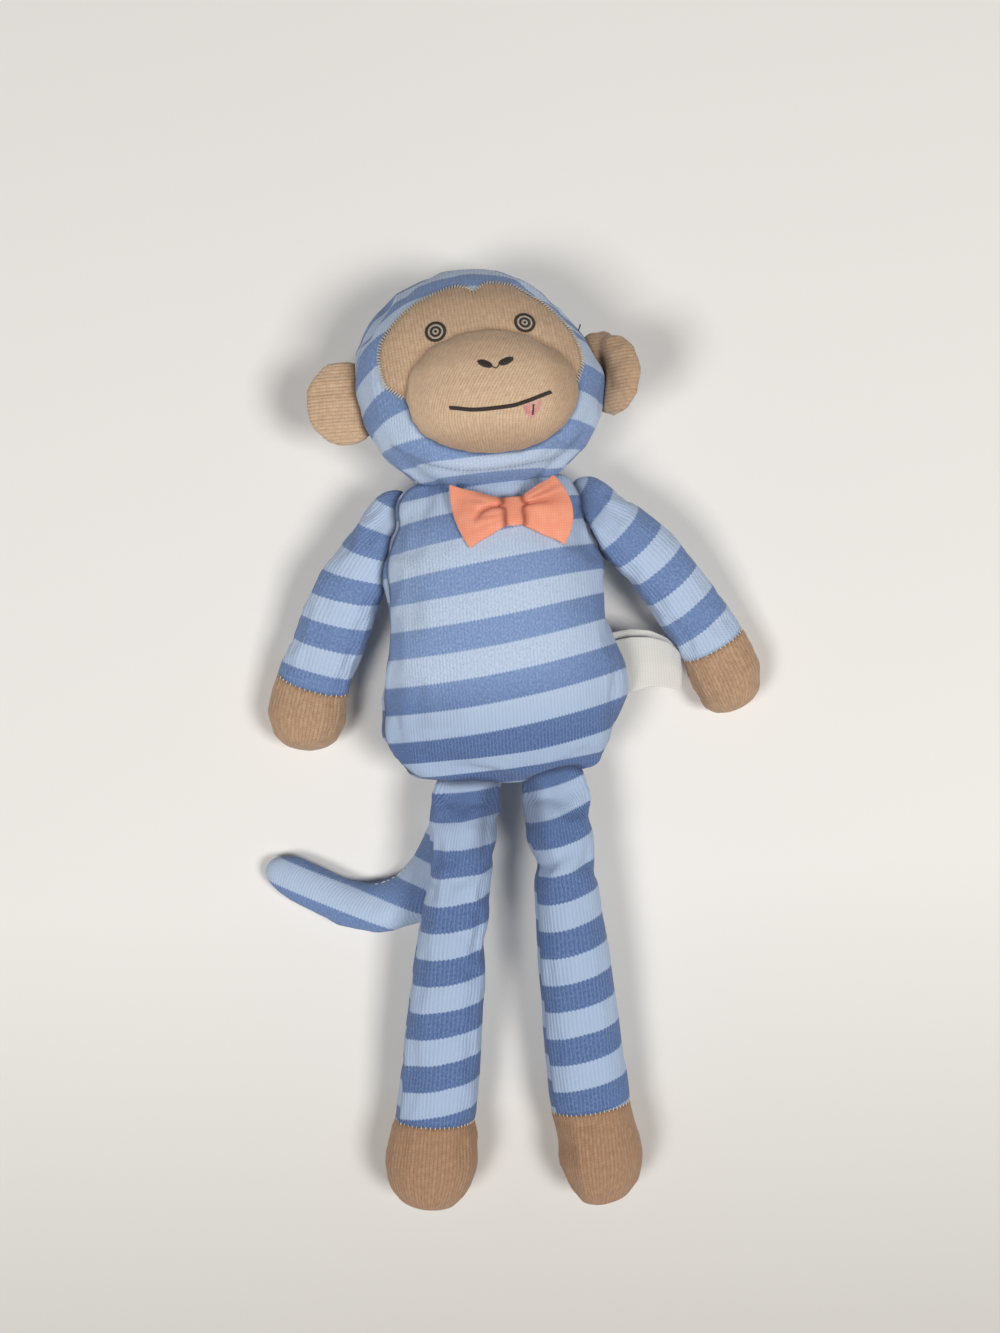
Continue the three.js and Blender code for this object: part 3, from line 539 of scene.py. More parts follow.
x, y, z = points(body_form).T
right, left = np.clip(x / 44, 0, 1) ** 2, np.clip(-x / 44, 0, 1) ** 2
x = x - right * (3.0 * smoothstep(-20, 8, y) - 2.0 * smoothstep(8, 24, y) + 2.6 * smoothstep(-24, -44, y))
x = x + left * (1.3 * smoothstep(-25, -5, y) - 2.3 * smoothstep(-26, -40, y) - 4.0 * smoothstep(12, 30, y))
put(body_form, np.column_stack([x, y, z]))
x, y, z = points(head_form).T
x = x - 3.2 * smoothstep(90, 122, y) - 3.2 * smoothstep(90, 106, y) * smoothstep(10, 40, x)
put(head_form, np.column_stack([x, y, z]))
x, y, z = points(muzzle_form).T
rise = 3.2 - 2.8 * smoothstep(4, 26, x)
put(muzzle_form, np.column_stack([x.mean() + 0.968 * (x - x.mean()), y + rise * smoothstep(82, 98, y), z]))
x, y, z = points(tail_form).T
put(tail_form, np.column_stack([x, y + 6 * smoothstep(-22, -6, x), z]))
EAR_FOLD = [(45.2, 98.0), (46.9, 93.5), (47.8, 87.6)]
ear_front = joints["right_ear_fold"][2]  # the ear's front is above its hinge
places = points(ear_forms["right"])
places[:, 0] -= 1.6 * smoothstep(44, 50, places[:, 0])
places[:, 2] -= 1.5 * hump(gap_to(places, EAR_FOLD), 1.8) * (places[:, 2] > ear_front)
put(ear_forms["right"], places)
LEG_FOLD = [(6.5, -91.0), (12.0, -89.5), (17.0, -87.0)]
places = points(limb_forms["right", "leg"])
inner = smoothstep(20, 8, places[:, 0])
places[:, 0] += inner * (1.5 * hump(places[:, 1] + 90.5, 5) - 0.8 * hump(places[:, 1] + 80, 6))
places[:, 0] += 3.4 * smoothstep(-186, -200, places[:, 1]) * smoothstep(22, 8, places[:, 0])
places[:, 2] -= 1.2 * hump(gap_to(places, LEG_FOLD), 2.0) * (places[:, 2] > 20)
put(limb_forms["right", "leg"], places)
print("shaped", len(limb_forms), "limbs")

# %% [markdown]
# ## Blowing up the forms
# All forms are simulated together, in one run of 20 frames. The cloth has no weight. Each vertex may move only a
# few millimetres, so a form keeps the size of its CAD solids, and whatever would sink into the table is pressed
# flat on it. A slow noise then adds the lumps of loose filling, larger ones on the body and the head.

# %% Hold the seams and run the cloth
def hold(form, mask):
    group = form.vertex_groups.new(name="sewn")
    group.add([int(i) for i in np.nonzero(mask)[0]], 1.0, "REPLACE")


def distance(places, seam):
    return (places - seam[0]) @ seam[1] / np.linalg.norm(seam[1])


CLOTH = {"quality": 6, "mass": 0.001, "tension_stiffness": 15, "compression_stiffness": 15, "shear_stiffness": 5,
         "bending_stiffness": 0.1, "use_pressure": True, "uniform_pressure_force": 5.0, "vertex_group_mass": "sewn"}


def cloth_on(form, growth):
    cloth = form.modifiers.new("Stuffing", "CLOTH")
    for key, value in CLOTH.items():
        setattr(cloth.settings, key, value)
    cloth.settings.shrink_min = -growth
    cloth.settings.effector_weights.gravity = 0
    cloth.collision_settings.use_collision = False


FRAMES = 20
HELD_ROOT = {"arm": 1, "leg": 8}  # mm from the joint
for form, seam in ((body_form, body_seam), (head_form, head_seam)):
    hold(form, np.abs(distance(points(form), seam)) < 1.8)
muzzle_depth = points(muzzle_form)[:, 2]
hold(muzzle_form, muzzle_depth < muzzle_depth.min() + 4)
hold(tail_form, points(tail_form)[:, 0] > -5)
for side in SIDES:
    hold(ear_forms[side], np.abs(points(ear_forms[side]) - joints[side + "_ear_fold"])[:, 0] < 3)
    for limb in END:
        places = points(limb_forms[side, limb])
        held = np.abs(distance(places, limb_seams[side, limb])) < 1.6
        held |= follow(places, spines[side, limb])[0] < HELD_ROOT[limb]
        hold(limb_forms[side, limb], held)

growths = [(body_form, 0.03), (head_form, 0.025), (muzzle_form, 0.015), (tail_form, 0.02)]
growths += [(form, 0.015) for form in ear_forms.values()]
growths += [(limb_forms[side, limb], growth) for limb, growth in (("arm", 0.035), ("leg", 0.022)) for side in SIDES]
before = {form.name: points(form) for form, growth in growths}
for form, growth in growths:
    cloth_on(form, growth)
for number in range(1, FRAMES + 1):
    bpy.context.scene.frame_set(number)
for form, growth in growths:
    pick(form)
    bpy.ops.object.modifier_apply(modifier="Stuffing")
bpy.context.scene.frame_set(1)

CAP = 2.2  # most that a vertex may move
PRESSED, FLOOR = 1.5, 0.2  # heights between which the cloth is pressed flat
lumps = bpy.data.textures.new("lumps of filling", "CLOUDS")
lumps.noise_scale = 0.016
for form, growth in growths:
    moved = points(form) - before[form.name]
    length = np.linalg.norm(moved, axis=1)
    moved *= np.minimum(1, CAP / np.maximum(length, 1e-6))[:, None]
    blown = before[form.name] + moved
    z, give = blown[:, 2], PRESSED - FLOOR
    blown[:, 2] = np.where(z < PRESSED, FLOOR + give * np.exp((z - PRESSED) / give), z)
    put(form, blown)
    form.vertex_groups.clear()
    lump = 1.3 if form in (body_form, head_form) else 0.8
    apply_modifier(form, "DISPLACE", strength=lump * MM, mid_level=0.5, texture=lumps, texture_coords="LOCAL")
    apply_modifier(form, "SUBSURF", levels=1, render_levels=1)
    show_box(f"{form.name} moved {length.mean():.2f} mm;", form)

# %% [markdown]
# ## Cutting the covers
# A form is cut along its seam plane and each side becomes a cover of its own. The rim of a cover is turned in, as a
# seam allowance is, and closed behind. The rim is left sharp so that the seam reads as a line.

# %% Cut at a seam
RIM_TURNED_IN = (0.86, 0.86, 0.86)
SHARP_RIM = math.radians(55)


def cut_at_seam(form, seam, upper_name, lower_name):
    edit(form)
    bpy.ops.mesh.bisect(plane_co=seam[0] * MM, plane_no=seam[1])
    bpy.ops.mesh.select_mode(type="FACE")
    bpy.ops.mesh.select_all(action="DESELECT")
    bpy.ops.object.mode_set(mode="OBJECT")
    centres = np.array([face.center for face in form.data.polygons]) / MM
    form.data.polygons.foreach_set("select", distance(centres, seam) > 0)
    bpy.ops.object.mode_set(mode="EDIT")
    bpy.ops.mesh.separate(type="SELECTED")
    bpy.ops.object.mode_set(mode="OBJECT")
    other = [piece for piece in bpy.context.selected_objects if piece is not form][0]
    form.name = lower_name
    other.name = upper_name
    for piece in (form, other):
        turn_in(piece)
    return other, form


def turn_in(piece):
    pick(piece)
    bpy.ops.object.mode_set(mode="EDIT")
    bpy.ops.mesh.select_mode(type="EDGE")
    bpy.ops.mesh.select_all(action="DESELECT")
    bpy.ops.mesh.select_non_manifold(extend=False, use_wire=False, use_multi_face=False,
                                     use_non_contiguous=False, use_verts=False)
    bpy.ops.object.mode_set(mode="OBJECT")
    rim = [vertex.index for vertex in piece.data.vertices if vertex.select]
    centre = Vector((points(piece)[rim].mean(0) * MM).tolist())
    bpy.ops.object.mode_set(mode="EDIT")
    bpy.ops.mesh.extrude_edges_move()
    bpy.ops.transform.resize(value=RIM_TURNED_IN, center_override=centre)
    bpy.ops.mesh.edge_face_add()
    face_outwards()
    bpy.ops.object.shade_smooth_by_angle(angle=SHARP_RIM)


body_front, body_back = cut_at_seam(body_form, body_seam, "body_front_cover", "body_back_cover")
head_front, head_back = cut_at_seam(head_form, head_seam, "head_front_cover", "head_back_cover")
UPPER = {"arm": "sleeve", "leg": "trouser"}
sleeves, ends = {}, {}
for key, form in limb_forms.items():
    end_name, upper_name = (f"{key[0]}_{part[key[1]]}_cover" for part in (END, UPPER))
    ends[key], sleeves[key] = cut_at_seam(form, limb_seams[key], end_name, upper_name)
for piece in (muzzle_form, tail_form, *ear_forms.values()):
    pick(piece)
    bpy.ops.object.shade_smooth()
cut = (body_front, body_back, head_front, head_back, *sleeves.values(), *ends.values())
print("covers:", [piece.name for piece in cut])

# %% [markdown]
# ## Laying the knit on the covers
# `lay_knit` writes the UV map `knit`: millimetres across the wales and along them, with the stripes counted so
# that the middle of a dark band is at zero. Round a tube the count across has to meet itself at the back, so the
# faces that straddle that line are unrolled. `drift` is a share of a jump: a tube's cloth doesn't quite meet itself
# at its own seam, so the bands creep along round the tube and jump back there. On a cushion the count across is the
# arc of an ellipse, as wide and as deep as the cushion.

# %% UV map of the knit
def lay_knit(piece, across, along, period=None, drift=None, jump=None):
    mesh = piece.data
    layer = mesh.uv_layers.new(name="knit")
    corner = np.empty(len(mesh.loops), np.int32)
    mesh.loops.foreach_get("vertex_index", corner)
    u, v = across[corner], along[corner]
    if period:
        start = np.empty(len(mesh.polygons), np.int32)
        count = np.empty(len(mesh.polygons), np.int32)
        mesh.polygons.foreach_get("loop_start", start)
        mesh.polygons.foreach_get("loop_total", count)
        u = u + period * np.round((np.repeat(u[start], count) - u) / period)
        share = drift[corner]
        v = v + jump[corner] * (share + np.round(np.repeat(share[start], count) - share))
    layer.data.foreach_set("uv", np.stack([u, v], axis=1).astype(np.float32).ravel())


def round_ellipse(x, z, wide, deep):
    flat, steep = np.arcsin(np.clip(x / wide, -1, 1)), np.arctan2(x / wide, z / deep)
    angle = flat + (steep - flat) * smoothstep(0.75, 0.95, np.abs(x) / wide)
    t = np.abs(angle)[:, None] * np.linspace(0, 1, 25)
    speed = np.hypot(np.reshape(wide, (-1, 1)) * np.cos(t), np.reshape(deep, (-1, 1)) * np.sin(t))
    return angle * (speed[:, 1:] + speed[:, :-1]).mean(1) / 2

# %% [markdown]
# The belly's bands rise towards the right and curve up there, because the cloth was pulled as it was filled. The
# back panel was cut from another place in the cloth, so its bands don't meet the front's at the side seam.

# %% Body
def mark_stretch_and_light(piece, values):
    attribute = piece.data.attributes.new("stretch_and_painted_light", "FLOAT", "POINT")
    attribute.data.foreach_set("value", (values + np.zeros(len(piece.data.vertices))).astype(np.float32))


for cover, shift in ((body_front, 0.0), (body_back, 8.0)):
    x, y, z = points(cover).T
    upright = np.abs(distance(points(cover), body_seam))
    curl = 0.0013 * smoothstep(25, 5, y)
    bands = y - 0.13 * x - curl * x * x + 2.5 * smoothstep(42, 54, y) - 0.8 * np.maximum(-45 - y, 0)
    lay_knit(cover, round_ellipse(x, upright, np.abs(x).max(), upright.max()), bands + shift)
    # partly real, partly painted light: the belly's stitches open, and the body is painted paler above its lower end
    # and on its left flank
    belly = np.exp(-((x + 4) / 36) ** 4 - ((y - 6) / 34) ** 4) * smoothstep(34, 50, z)
    painted_light_flank = smoothstep(-8, -36, x) * smoothstep(-32, 0, y)
    mark_stretch_and_light(cover, 0.35 * smoothstep(-42, -12, y) + 0.65 * belly + 0.45 * painted_light_flank)
    cover.data.materials.append(striped)
    print(cover.name, "bands from", bands.min().round(), "to", bands.max().round(), "mm")

# %% [markdown]
# On the head the bands droop at both sides and hang under the chin. Towards the chin and the crown the cloth turns
# away from the viewer, so more of it goes by for each millimetre of height.

# %% Head
centre = middle("head_filling")
wide, tall, deep = centre[0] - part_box("head_filling")[0].x / MM, 40.5, 34.0  # half sizes
CROWN = 116  # above this height the bands are counted along the cloth as it turns over the crown
for cover, shift in ((head_front, 0.0), (head_back, 7.0)):
    x, y, z = (points(cover) - [centre[0], 0, centre[2]]).T
    over = np.arctan2((y - centre[1]) / tall, np.abs(z) / deep) - math.asin((CROWN - centre[1]) / tall)
    y = y + (CROWN + tall * over - y) * smoothstep(0, 0.25, over)
    bands = y - 0.077 * x
    bands += np.where(x < 0, 0.017, 0.0133) * np.maximum(np.abs(x) - 25, 0) ** 2 * smoothstep(66, 76, y)
    bands += 2.0 * np.maximum(1 - (x / 30) ** 2, 0) * smoothstep(72, 66, y)
    bands -= 0.8 * np.maximum(66 - y, 0) + 0.6 * np.maximum(58 - y, 0)
    lay_knit(cover, round_ellipse(x, np.abs(z), wide, deep), (bands - 67.3) * STRIPES / 20.8 + shift)
    # partly real stretch, partly painted light: the cloth towards the chin is made paler
    mark_stretch_and_light(cover, 0.68 + 0.25 * smoothstep(80, 66, y))
    cover.data.materials.append(striped)
    print(cover.name, "bands from", bands.min().round(), "to", bands.max().round(), "mm")

# %% [markdown]
# Sleeves and trouser legs are tubes with rings of colour. The tubes are sewn on a little askew, so the rings lean,
# by one amount near the joint and another far from it. Where each ring starts was measured on the toy, from the
# shoulder or hip down.

# %% Sleeves, trousers, hands and feet
# first dark ring in mm from the joint, stretch along the tube, and lean of the rings near the joint and far from it
RINGS = {("left", "arm"): (13.8, 1.0, 0.34, 0.0), ("right", "arm"): (22.5, 1.0, 0.0, 0.16),
         ("left", "leg"): (8.4, 0.977, 0.25, 0.25), ("right", "leg"): (18.6, 0.968, 0.16, 0.16)}
# girth, jump of the rings at the tube's own seam, how far the cloth is stretched, with painted light that makes the
# sleeves paler than the trouser legs, and the cloth of the tube's end
TUBES = {"arm": (50 * WALE, 0.0, 0.5, hand_tan), "leg": (64 * WALE, 4.0, 0.08, foot_tan)}
TUBE_SEAM = -1.05  # angle round the tube, from its top
for key, cover in sleeves.items():
    first, stretched, near, far = RINGS[key]
    girth, jump, taut_and_lit, end_tan = TUBES[key[1]]
    for piece, material in ((cover, striped), (ends[key], end_tan)):
        along, sideways, angle = follow(points(piece), spines[key])
        lean = near + (far - near) * smoothstep(25, 75, along)
        bands = along * stretched - first + lean * sideways
        drift = smoothstep(2.6, 6.2, (angle - TUBE_SEAM) % (2 * math.pi))
        lay_knit(piece, angle / (2 * math.pi) * girth, bands, girth, drift, jump * smoothstep(14, 30, along))
        mark_stretch_and_light(piece, taut_and_lit)
        piece.data.materials.append(material)
    print(cover.name, "girth", round(girth, 1), "mm")

# %% [markdown]
# The tail was cut slantwise from the cloth, so its bands run nearly lengthwise. The ears and the muzzle are tan. The
# muzzle was pulled to one side as it was sewn, so its wales lean to the right above the mouth.

# %% Tail, ears and muzzle
x, y, z = points(tail_form).T
TAIL_SLANT = math.radians(25.5)
bands = x * math.sin(TAIL_SLANT) + y * math.cos(TAIL_SLANT)
lay_knit(tail_form, x * math.cos(TAIL_SLANT) - y * math.sin(TAIL_SLANT) + z, (bands + 108.7) * STRIPES / 20)
mark_stretch_and_light(tail_form, 0.5)
tail_form.data.materials.append(striped)
for side, sign in SIDES.items():
    x, y, z = points(ear_forms[side]).T
    lay_knit(ear_forms[side], y, sign * x + z)
    ear_forms[side].data.materials.append(face_tan)
x, y, z = points(muzzle_form).T
down, above = 80 - z, np.maximum(y - 72, 0)
lay_knit(muzzle_form, 1.08 * x - 0.75 * above ** 2 / (above + 8) + 0.022 * (x - x.mean()) * down,
         1.12 * y + 0.025 * (y - y.mean()) * down)
muzzle_form.data.materials.append(muzzle_tan)
print("tail bands slant", round(math.degrees(TAIL_SLANT), 1), "degrees")

# %% [markdown]
# ## Painted shade where covers meet
# Where a sleeve is sewn to the body, or a leg, the tail or an ear comes out of its seam, the cloth is drawn in and
# the light hardly reaches it. On the panels, sleeves, trouser legs, hands, feet and ears that shade is painted into
# the colour: a function measures how near each vertex is to the other cover and keeps that as an attribute of
# painted shade, which the cloth's colour reads.

# %% Measure the painted shade
def surface_of(*pieces):
    corners, faces = [], []
    for piece in pieces:
        start = len(corners)
        corners += [vertex.co.copy() for vertex in piece.data.vertices]
        faces += [[start + i for i in face.vertices] for face in piece.data.polygons]
    return BVHTree.FromPolygons(corners, faces)


FAR_OFF = 6  # mm at which a cover no longer paints shade on another


def paint_shade_near(piece, others, reach, depth=1.0):
    surface = surface_of(*others)
    values = np.zeros(len(piece.data.vertices), np.float32)
    for vertex in piece.data.vertices:
        away = surface.find_nearest(vertex.co, FAR_OFF * MM)[3]
        if away is not None:
            values[vertex.index] = depth * hump(away / MM, reach)
    keep_painted_shade(piece, values)


def keep_painted_shade(piece, values):
    values = values.astype(np.float32)
    crease_and_painted_shade = piece.data.attributes.get("crease_and_painted_shade") or piece.data.attributes.new("crease_and_painted_shade", "FLOAT", "POINT")
    before = np.zeros_like(values)
    crease_and_painted_shade.data.foreach_get("value", before)
    crease_and_painted_shade.data.foreach_set("value", np.maximum(values, before))


limb_covers = list(sleeves.values())
for cover in (body_front, body_back):
    paint_shade_near(cover, limb_covers, 1.6)
for cover in limb_covers:
    paint_shade_near(cover, [body_front, body_back], 1.6)
for ear in ear_forms.values():
    paint_shade_near(ear, [head_front, head_back], 1.2)
for key, cover in sleeves.items():
    paint_shade_near(cover, [ends[key]], 0.9, 0.5)
    paint_shade_near(ends[key], [cover], 0.9, 0.6)
paint_shade_near(body_front, [body_back], 0.9)
paint_shade_near(body_back, [body_front], 0.9)
paint_shade_near(head_front, [head_back], 0.7)
# painted shade: the whole right ear is a little darker, and its fold darker still
places = points(ear_forms["right"])
keep_painted_shade(ear_forms["right"], 0.28 + 0.42 * hump(gap_to(places, EAR_FOLD), 1.5) * (places[:, 2] > ear_front))
# painted shade in the fold at the right leg's inner side
right_leg = sleeves["right", "leg"]
places = points(right_leg)
keep_painted_shade(right_leg, 0.5 * hump(gap_to(places, LEG_FOLD), 1.2) * smoothstep(17, 8, places[:, 0]))
for side, sign in SIDES.items():
    cover = sleeves[side, "leg"]
    along, sideways, angle = follow(points(cover), spines[side, "leg"])
    # painted shade along each trouser leg's own seam
    keep_painted_shade(cover, 0.3 * hump(angle - TUBE_SEAM, 0.06) * smoothstep(14, 30, along))
    # painted shade on each trouser leg's inner side near the hip, where the legs shade each other
    keep_painted_shade(cover, 0.7 * smoothstep(3, 9, -sign * sideways) * smoothstep(40, 8, along))
print("creases on", len(cut) + len(ear_forms), "covers")

# %% [markdown]
# ## The face patch
# The tan face is a flat piece of jersey laid on the head and whipped down along its edge. Its outline has a heart's
# notch between the brows. It is made as a ring of edges in that outline, filled with a grid of faces, laid on the
# head with a shrinkwrap, puffed a little away from its edge and given the thickness of cloth.

# %% Face patch
BROW_AND_CHEEKS = [(-1.0, 120.8), (1.8, 123.4), (5.1, 124.7), (14.0, 123.5), (22.6, 118.3), (29.4, 112.4),
                   (34.3, 104.9), (36.6, 97.5), (36.3, 93.3), (35.0, 89.8), (32, 84), (24, 76), (10, 71), (-6, 71),
                   (-20, 76), (-26.5, 82.5), (-31.6, 86.9), (-35.0, 90.0), (-36.7, 96.2), (-36.6, 102.7),
                   (-34.5, 107.5), (-29.8, 113.0), (-22.2, 118.5), (-13.0, 122.5), (-7.5, 123.9), (-3.4, 122.9)]


def through(corners, count, closed=True):
    corners = np.array(corners, float)
    ring = np.vstack([corners, corners[:1]]) if closed else corners
    line = np.vstack([2 * ring[0] - ring[1], ring, 2 * ring[-1] - ring[-2]])
    pieces = []
    for a, b, c, d in zip(line[:-3], line[1:-2], line[2:-1], line[3:]):
        t = np.linspace(0, 1, 20, endpoint=False)[:, None]
        pieces.append(b + (c - a) / 2 * t + (a - 2.5 * b + 2 * c - d / 2) * t ** 2
                      + (1.5 * (b - c) + (d - a) / 2) * t ** 3)
    dense = np.vstack(pieces + [ring[-1:]])
    run = np.concatenate([[0], np.cumsum(np.linalg.norm(np.diff(dense, axis=0), axis=1))])
    marks = np.linspace(0, run[-1], count, endpoint=not closed)
    return np.stack([np.interp(marks, run, dense[:, i]) for i in range(dense.shape[1])], axis=1)


EDGE_POINTS = 160
edge = through(BROW_AND_CHEEKS, EDGE_POINTS)
bpy.ops.mesh.primitive_circle_add(vertices=EDGE_POINTS, radius=0.04)
face = bpy.context.object
face.name = "face_cloth"
ring = points(face)
order = np.argsort(-np.arctan2(ring[:, 0], ring[:, 1]) % (2 * math.pi))
laid = np.zeros_like(ring)
laid[order] = np.column_stack([edge[::-1], np.full(EDGE_POINTS, 90.0)])
put(face, laid)
edit(face)
bpy.ops.mesh.fill_grid(span=EDGE_POINTS // 4, offset=EDGE_POINTS // 8)
face_outwards()
apply_modifier(face, "SHRINKWRAP", target=head_front, wrap_method="PROJECT", use_project_z=True,
               use_negative_direction=True, use_positive_direction=False, offset=0.3 * MM)
places = points(face)
places[:, 2] += 1.1 * (1 - np.exp(-gap_to_points(places, edge) / 2.2))
put(face, places)
thicken(face, 0.9, -1.0)
x, y, z = points(face).T
lay_knit(face, x * 1.05 + 0.1 * y, y * 1.06)
face.data.materials.append(face_tan)
# painted shade: the face patch darkens next to the muzzle
paint_shade_near(face, [muzzle_form], 1.2, 0.45)
# painted shade: a dark line along the patch's edge, and the brow darker towards the crown, which the lamps light less
rim = gap_to_points(points(face), edge)
keep_painted_shade(face, np.maximum(0.6 * hump(rim, 0.7), 0.28 * smoothstep(104, 122, y)))
# painted shade: the muzzle's top, its lower part and its right side are darker, where less light falls
x, y, z = points(muzzle_form).T
keep_painted_shade(muzzle_form, 0.25 * smoothstep(89, 98, y) + 0.36 * smoothstep(74, 65, y) + 0.4 * smoothstep(18, 32, x))
# painted shade: the muzzle darkens next to the face patch, and the head next to the muzzle
paint_shade_near(muzzle_form, [face], 0.6, 0.6)
paint_shade_near(head_front, [muzzle_form], 1.2)
print("face patch", len(face.data.polygons), "faces; width", round(np.ptp(points(face)[:, 0]), 1), "mm")

# %% [markdown]
# ## One stitch
# Every stitch on the toy is a short length of thread that comes up through the cloth, arches over it and goes down
# again. It is modelled once, from a small ball drawn out along X, with its two ends bent down. `sew` makes a copy of
# it for each pair of needle holes and joins the copies to one piece.

# %% Thread and the sewing function
bpy.ops.mesh.primitive_uv_sphere_add(segments=6, ring_count=8, radius=0.5)
stitch = bpy.context.object
stitch.name = "one_stitch"
y, z, x = points(stitch).T * MM
full = np.clip(1 - (2 * x) ** 4, 0, 1) ** 0.5 / np.maximum(np.sqrt(np.clip(1 - (2 * x) ** 2, 0, 1)), 0.05)
arch = 0.45 * (1 - (2 * x) ** 2) - 0.2
stitch_form = np.stack([x, y * full, z * full + arch], axis=1)
LOWEST = 0.15  # mm above the table


def sew(name, marks, ground, width, material, lift=0.0):
    surface = surface_of(*ground)
    copies = []
    for start, end in marks:
        start, end = np.array(start, float), np.array(end, float)
        facing = np.array(surface.find_nearest(Vector((start + end) / 2 * MM))[1])
        across = unit(np.cross(facing, end - start))
        copy = bpy.data.objects.new(name, stitch.data.copy())
        bpy.context.scene.collection.objects.link(copy)
        put(copy, start + lift * facing + (stitch_form[:, :1] + 0.5) * (end - start)
            + width * (stitch_form[:, 1:2] * across + stitch_form[:, 2:] * facing))
        copies.append(copy)
    pick(*copies)
    bpy.ops.object.join()
    sewn = bpy.context.view_layer.objects.active
    sewn.name = name
    sewn.data.name = name
    places = points(sewn)
    places[:, 2] = np.maximum(places[:, 2], LOWEST)
    put(sewn, places)
    bpy.ops.object.shade_smooth()
    sewn.data.materials.clear()
    sewn.data.materials.append(material)
    print(name, len(copies), "stitches")
    return sewn


def from_above(spots, *ground):
    surface = surface_of(*ground)
    found = []
    for x, y in np.array(spots)[:, :2]:
        hit = surface.ray_cast(Vector((x * MM, y * MM, 0.2)), Vector((0, 0, -1)))[0]
        found.append(np.array(hit) / MM)
    return np.array(found)

# %% [markdown]
# ## Sewing threads
# Thread is a twist of fine plies with a dull shine. The twist shows as slanting lines, which bend the light and vary
# the tone. The real ones are about 0.3 mm apart, drawn here at twice that so that they show.

# %% Thread materials
WAVE = math.pi / 10 / MM  # scale of a wave texture whose bands are a millimetre apart
PLY_GAP = 0.5851
PLIES = 2 * WAVE / math.sqrt(3) / PLY_GAP  # the scale for slanting bands that far apart


def thread(name, deep, high):
    material, tree, shader = new_material(name, Roughness=0.62, Sheen_Weight=0.2, Sheen_Roughness=0.4)
    where = add(tree, "TexCoord")
    plies = add(tree, "TexWave", {"Vector": where, "Scale": PLIES, "Distortion": 2.0, "Detail": 1.0},
                bands_direction="DIAGONAL")
    coat(tree, shader, add(tree, "Mix", {0: plies, 6: deep, 7: high}), plies, 0.3, 0.1)
    return material


brown_thread = thread("dark brown thread", "#1F1814", "#3A2E27")
cream_thread = thread("cream thread", "#D8CDB8", "#F0E9D8")
grey_thread = thread("grey eye thread", "#A39B8E", "#D0C8B9")
pink_thread = thread("pink thread", "#C66C78", "#E8A4A8")
ecru_thread = thread("ecru thread", "#C4B294", "#E2D6BE")
navy_thread = thread("navy seam thread", "#1F2A48", "#34446B")
blue_thread = thread("blue seam thread", "#5A6E99", "#7A8EB8")
print("threads in seven colours")

# %% [markdown]
# ## Whip stitches round the face
# An ecru thread whips the patch down: every stitch crosses the edge, half on the patch and half on the head.

# %% Whip stitches
SHOWN_ABOVE = 84.5  # below this the muzzle hides the patch's edge
loop = through(BROW_AND_CHEEKS, 190)
ahead = unit(np.roll(loop, -1, 0) - np.roll(loop, 1, 0))
out = np.stack([-ahead[:, 1], ahead[:, 0]], axis=1)
if np.sum(out * (loop - loop.mean(0))) < 0:
    out = -out
lean = 0.25 * ahead
inner = from_above(loop - 0.95 * out - lean, face, head_front)
outer = from_above(loop + 0.75 * out + lean, face, head_front)
marks = [(a, b) for a, b, seen in zip(inner, outer, loop[:, 1] > SHOWN_ABOVE) if seen]
whip = sew("face_whip_stitches", marks, [head_front], 0.5, ecru_thread, lift=0.3)

# %% [markdown]
# ## Eyes, nostrils, mouth and tongue
# All are embroidered. An eye is a ring of short dark stitches set like rays, a ring of grey thread, a second dark
# ring, a grey one and a dark dot. Nostrils, mouth and tongue are satin stitch, threads laid side by side. A thin
# line links the nostrils and another divides the tongue.

# %% Embroidery
def rays(centre, inner, outer, count):
    angle = np.arange(count) * 2 * math.pi / count
    spoke = np.stack([np.cos(angle), np.sin(angle)], axis=1)
    return np.array(centre) + inner * spoke, np.array(centre) + outer * spoke


def rounds(centre, radius, count):
    ring = rays(centre, radius, radius, count)[0]
    return ring, np.roll(ring, -1, 0)


def satin(line, half, lean=0.25):
    run = unit(np.gradient(line, axis=0))
    side = np.stack([-run[:, 1], run[:, 0]], axis=1) * np.reshape(half, (-1, 1))
    return line + side - lean * run, line - side + lean * run


def embroider(name, ends_of_threads, ground, width, material):
    first, last = ends_of_threads
    return sew(name, list(zip(from_above(first, *ground), from_above(last, *ground))), ground, width, material)


EYES = {"left": (-15.4, 106.2), "right": (16.3, 107.6)}
eye_pieces = {}
for side, centre in EYES.items():
    dark = [rays(centre, 2.7, 3.95, 44), rounds(centre, 3.5, 30), rays(centre, 1.15, 2.1, 28),
            rays(centre, 0.05, 0.5, 7)]
    dark = [np.vstack(both) for both in zip(*dark)]
    pale = [np.vstack(both) for both in zip(rounds(centre, 2.42, 22), rounds(centre, 0.85, 10))]
    eye_pieces[side] = (embroider(side + "_eye_dark_threads", dark, [face], 0.55, brown_thread),
                        embroider(side + "_eye_grey_threads", pale, [face], 0.6, grey_thread))

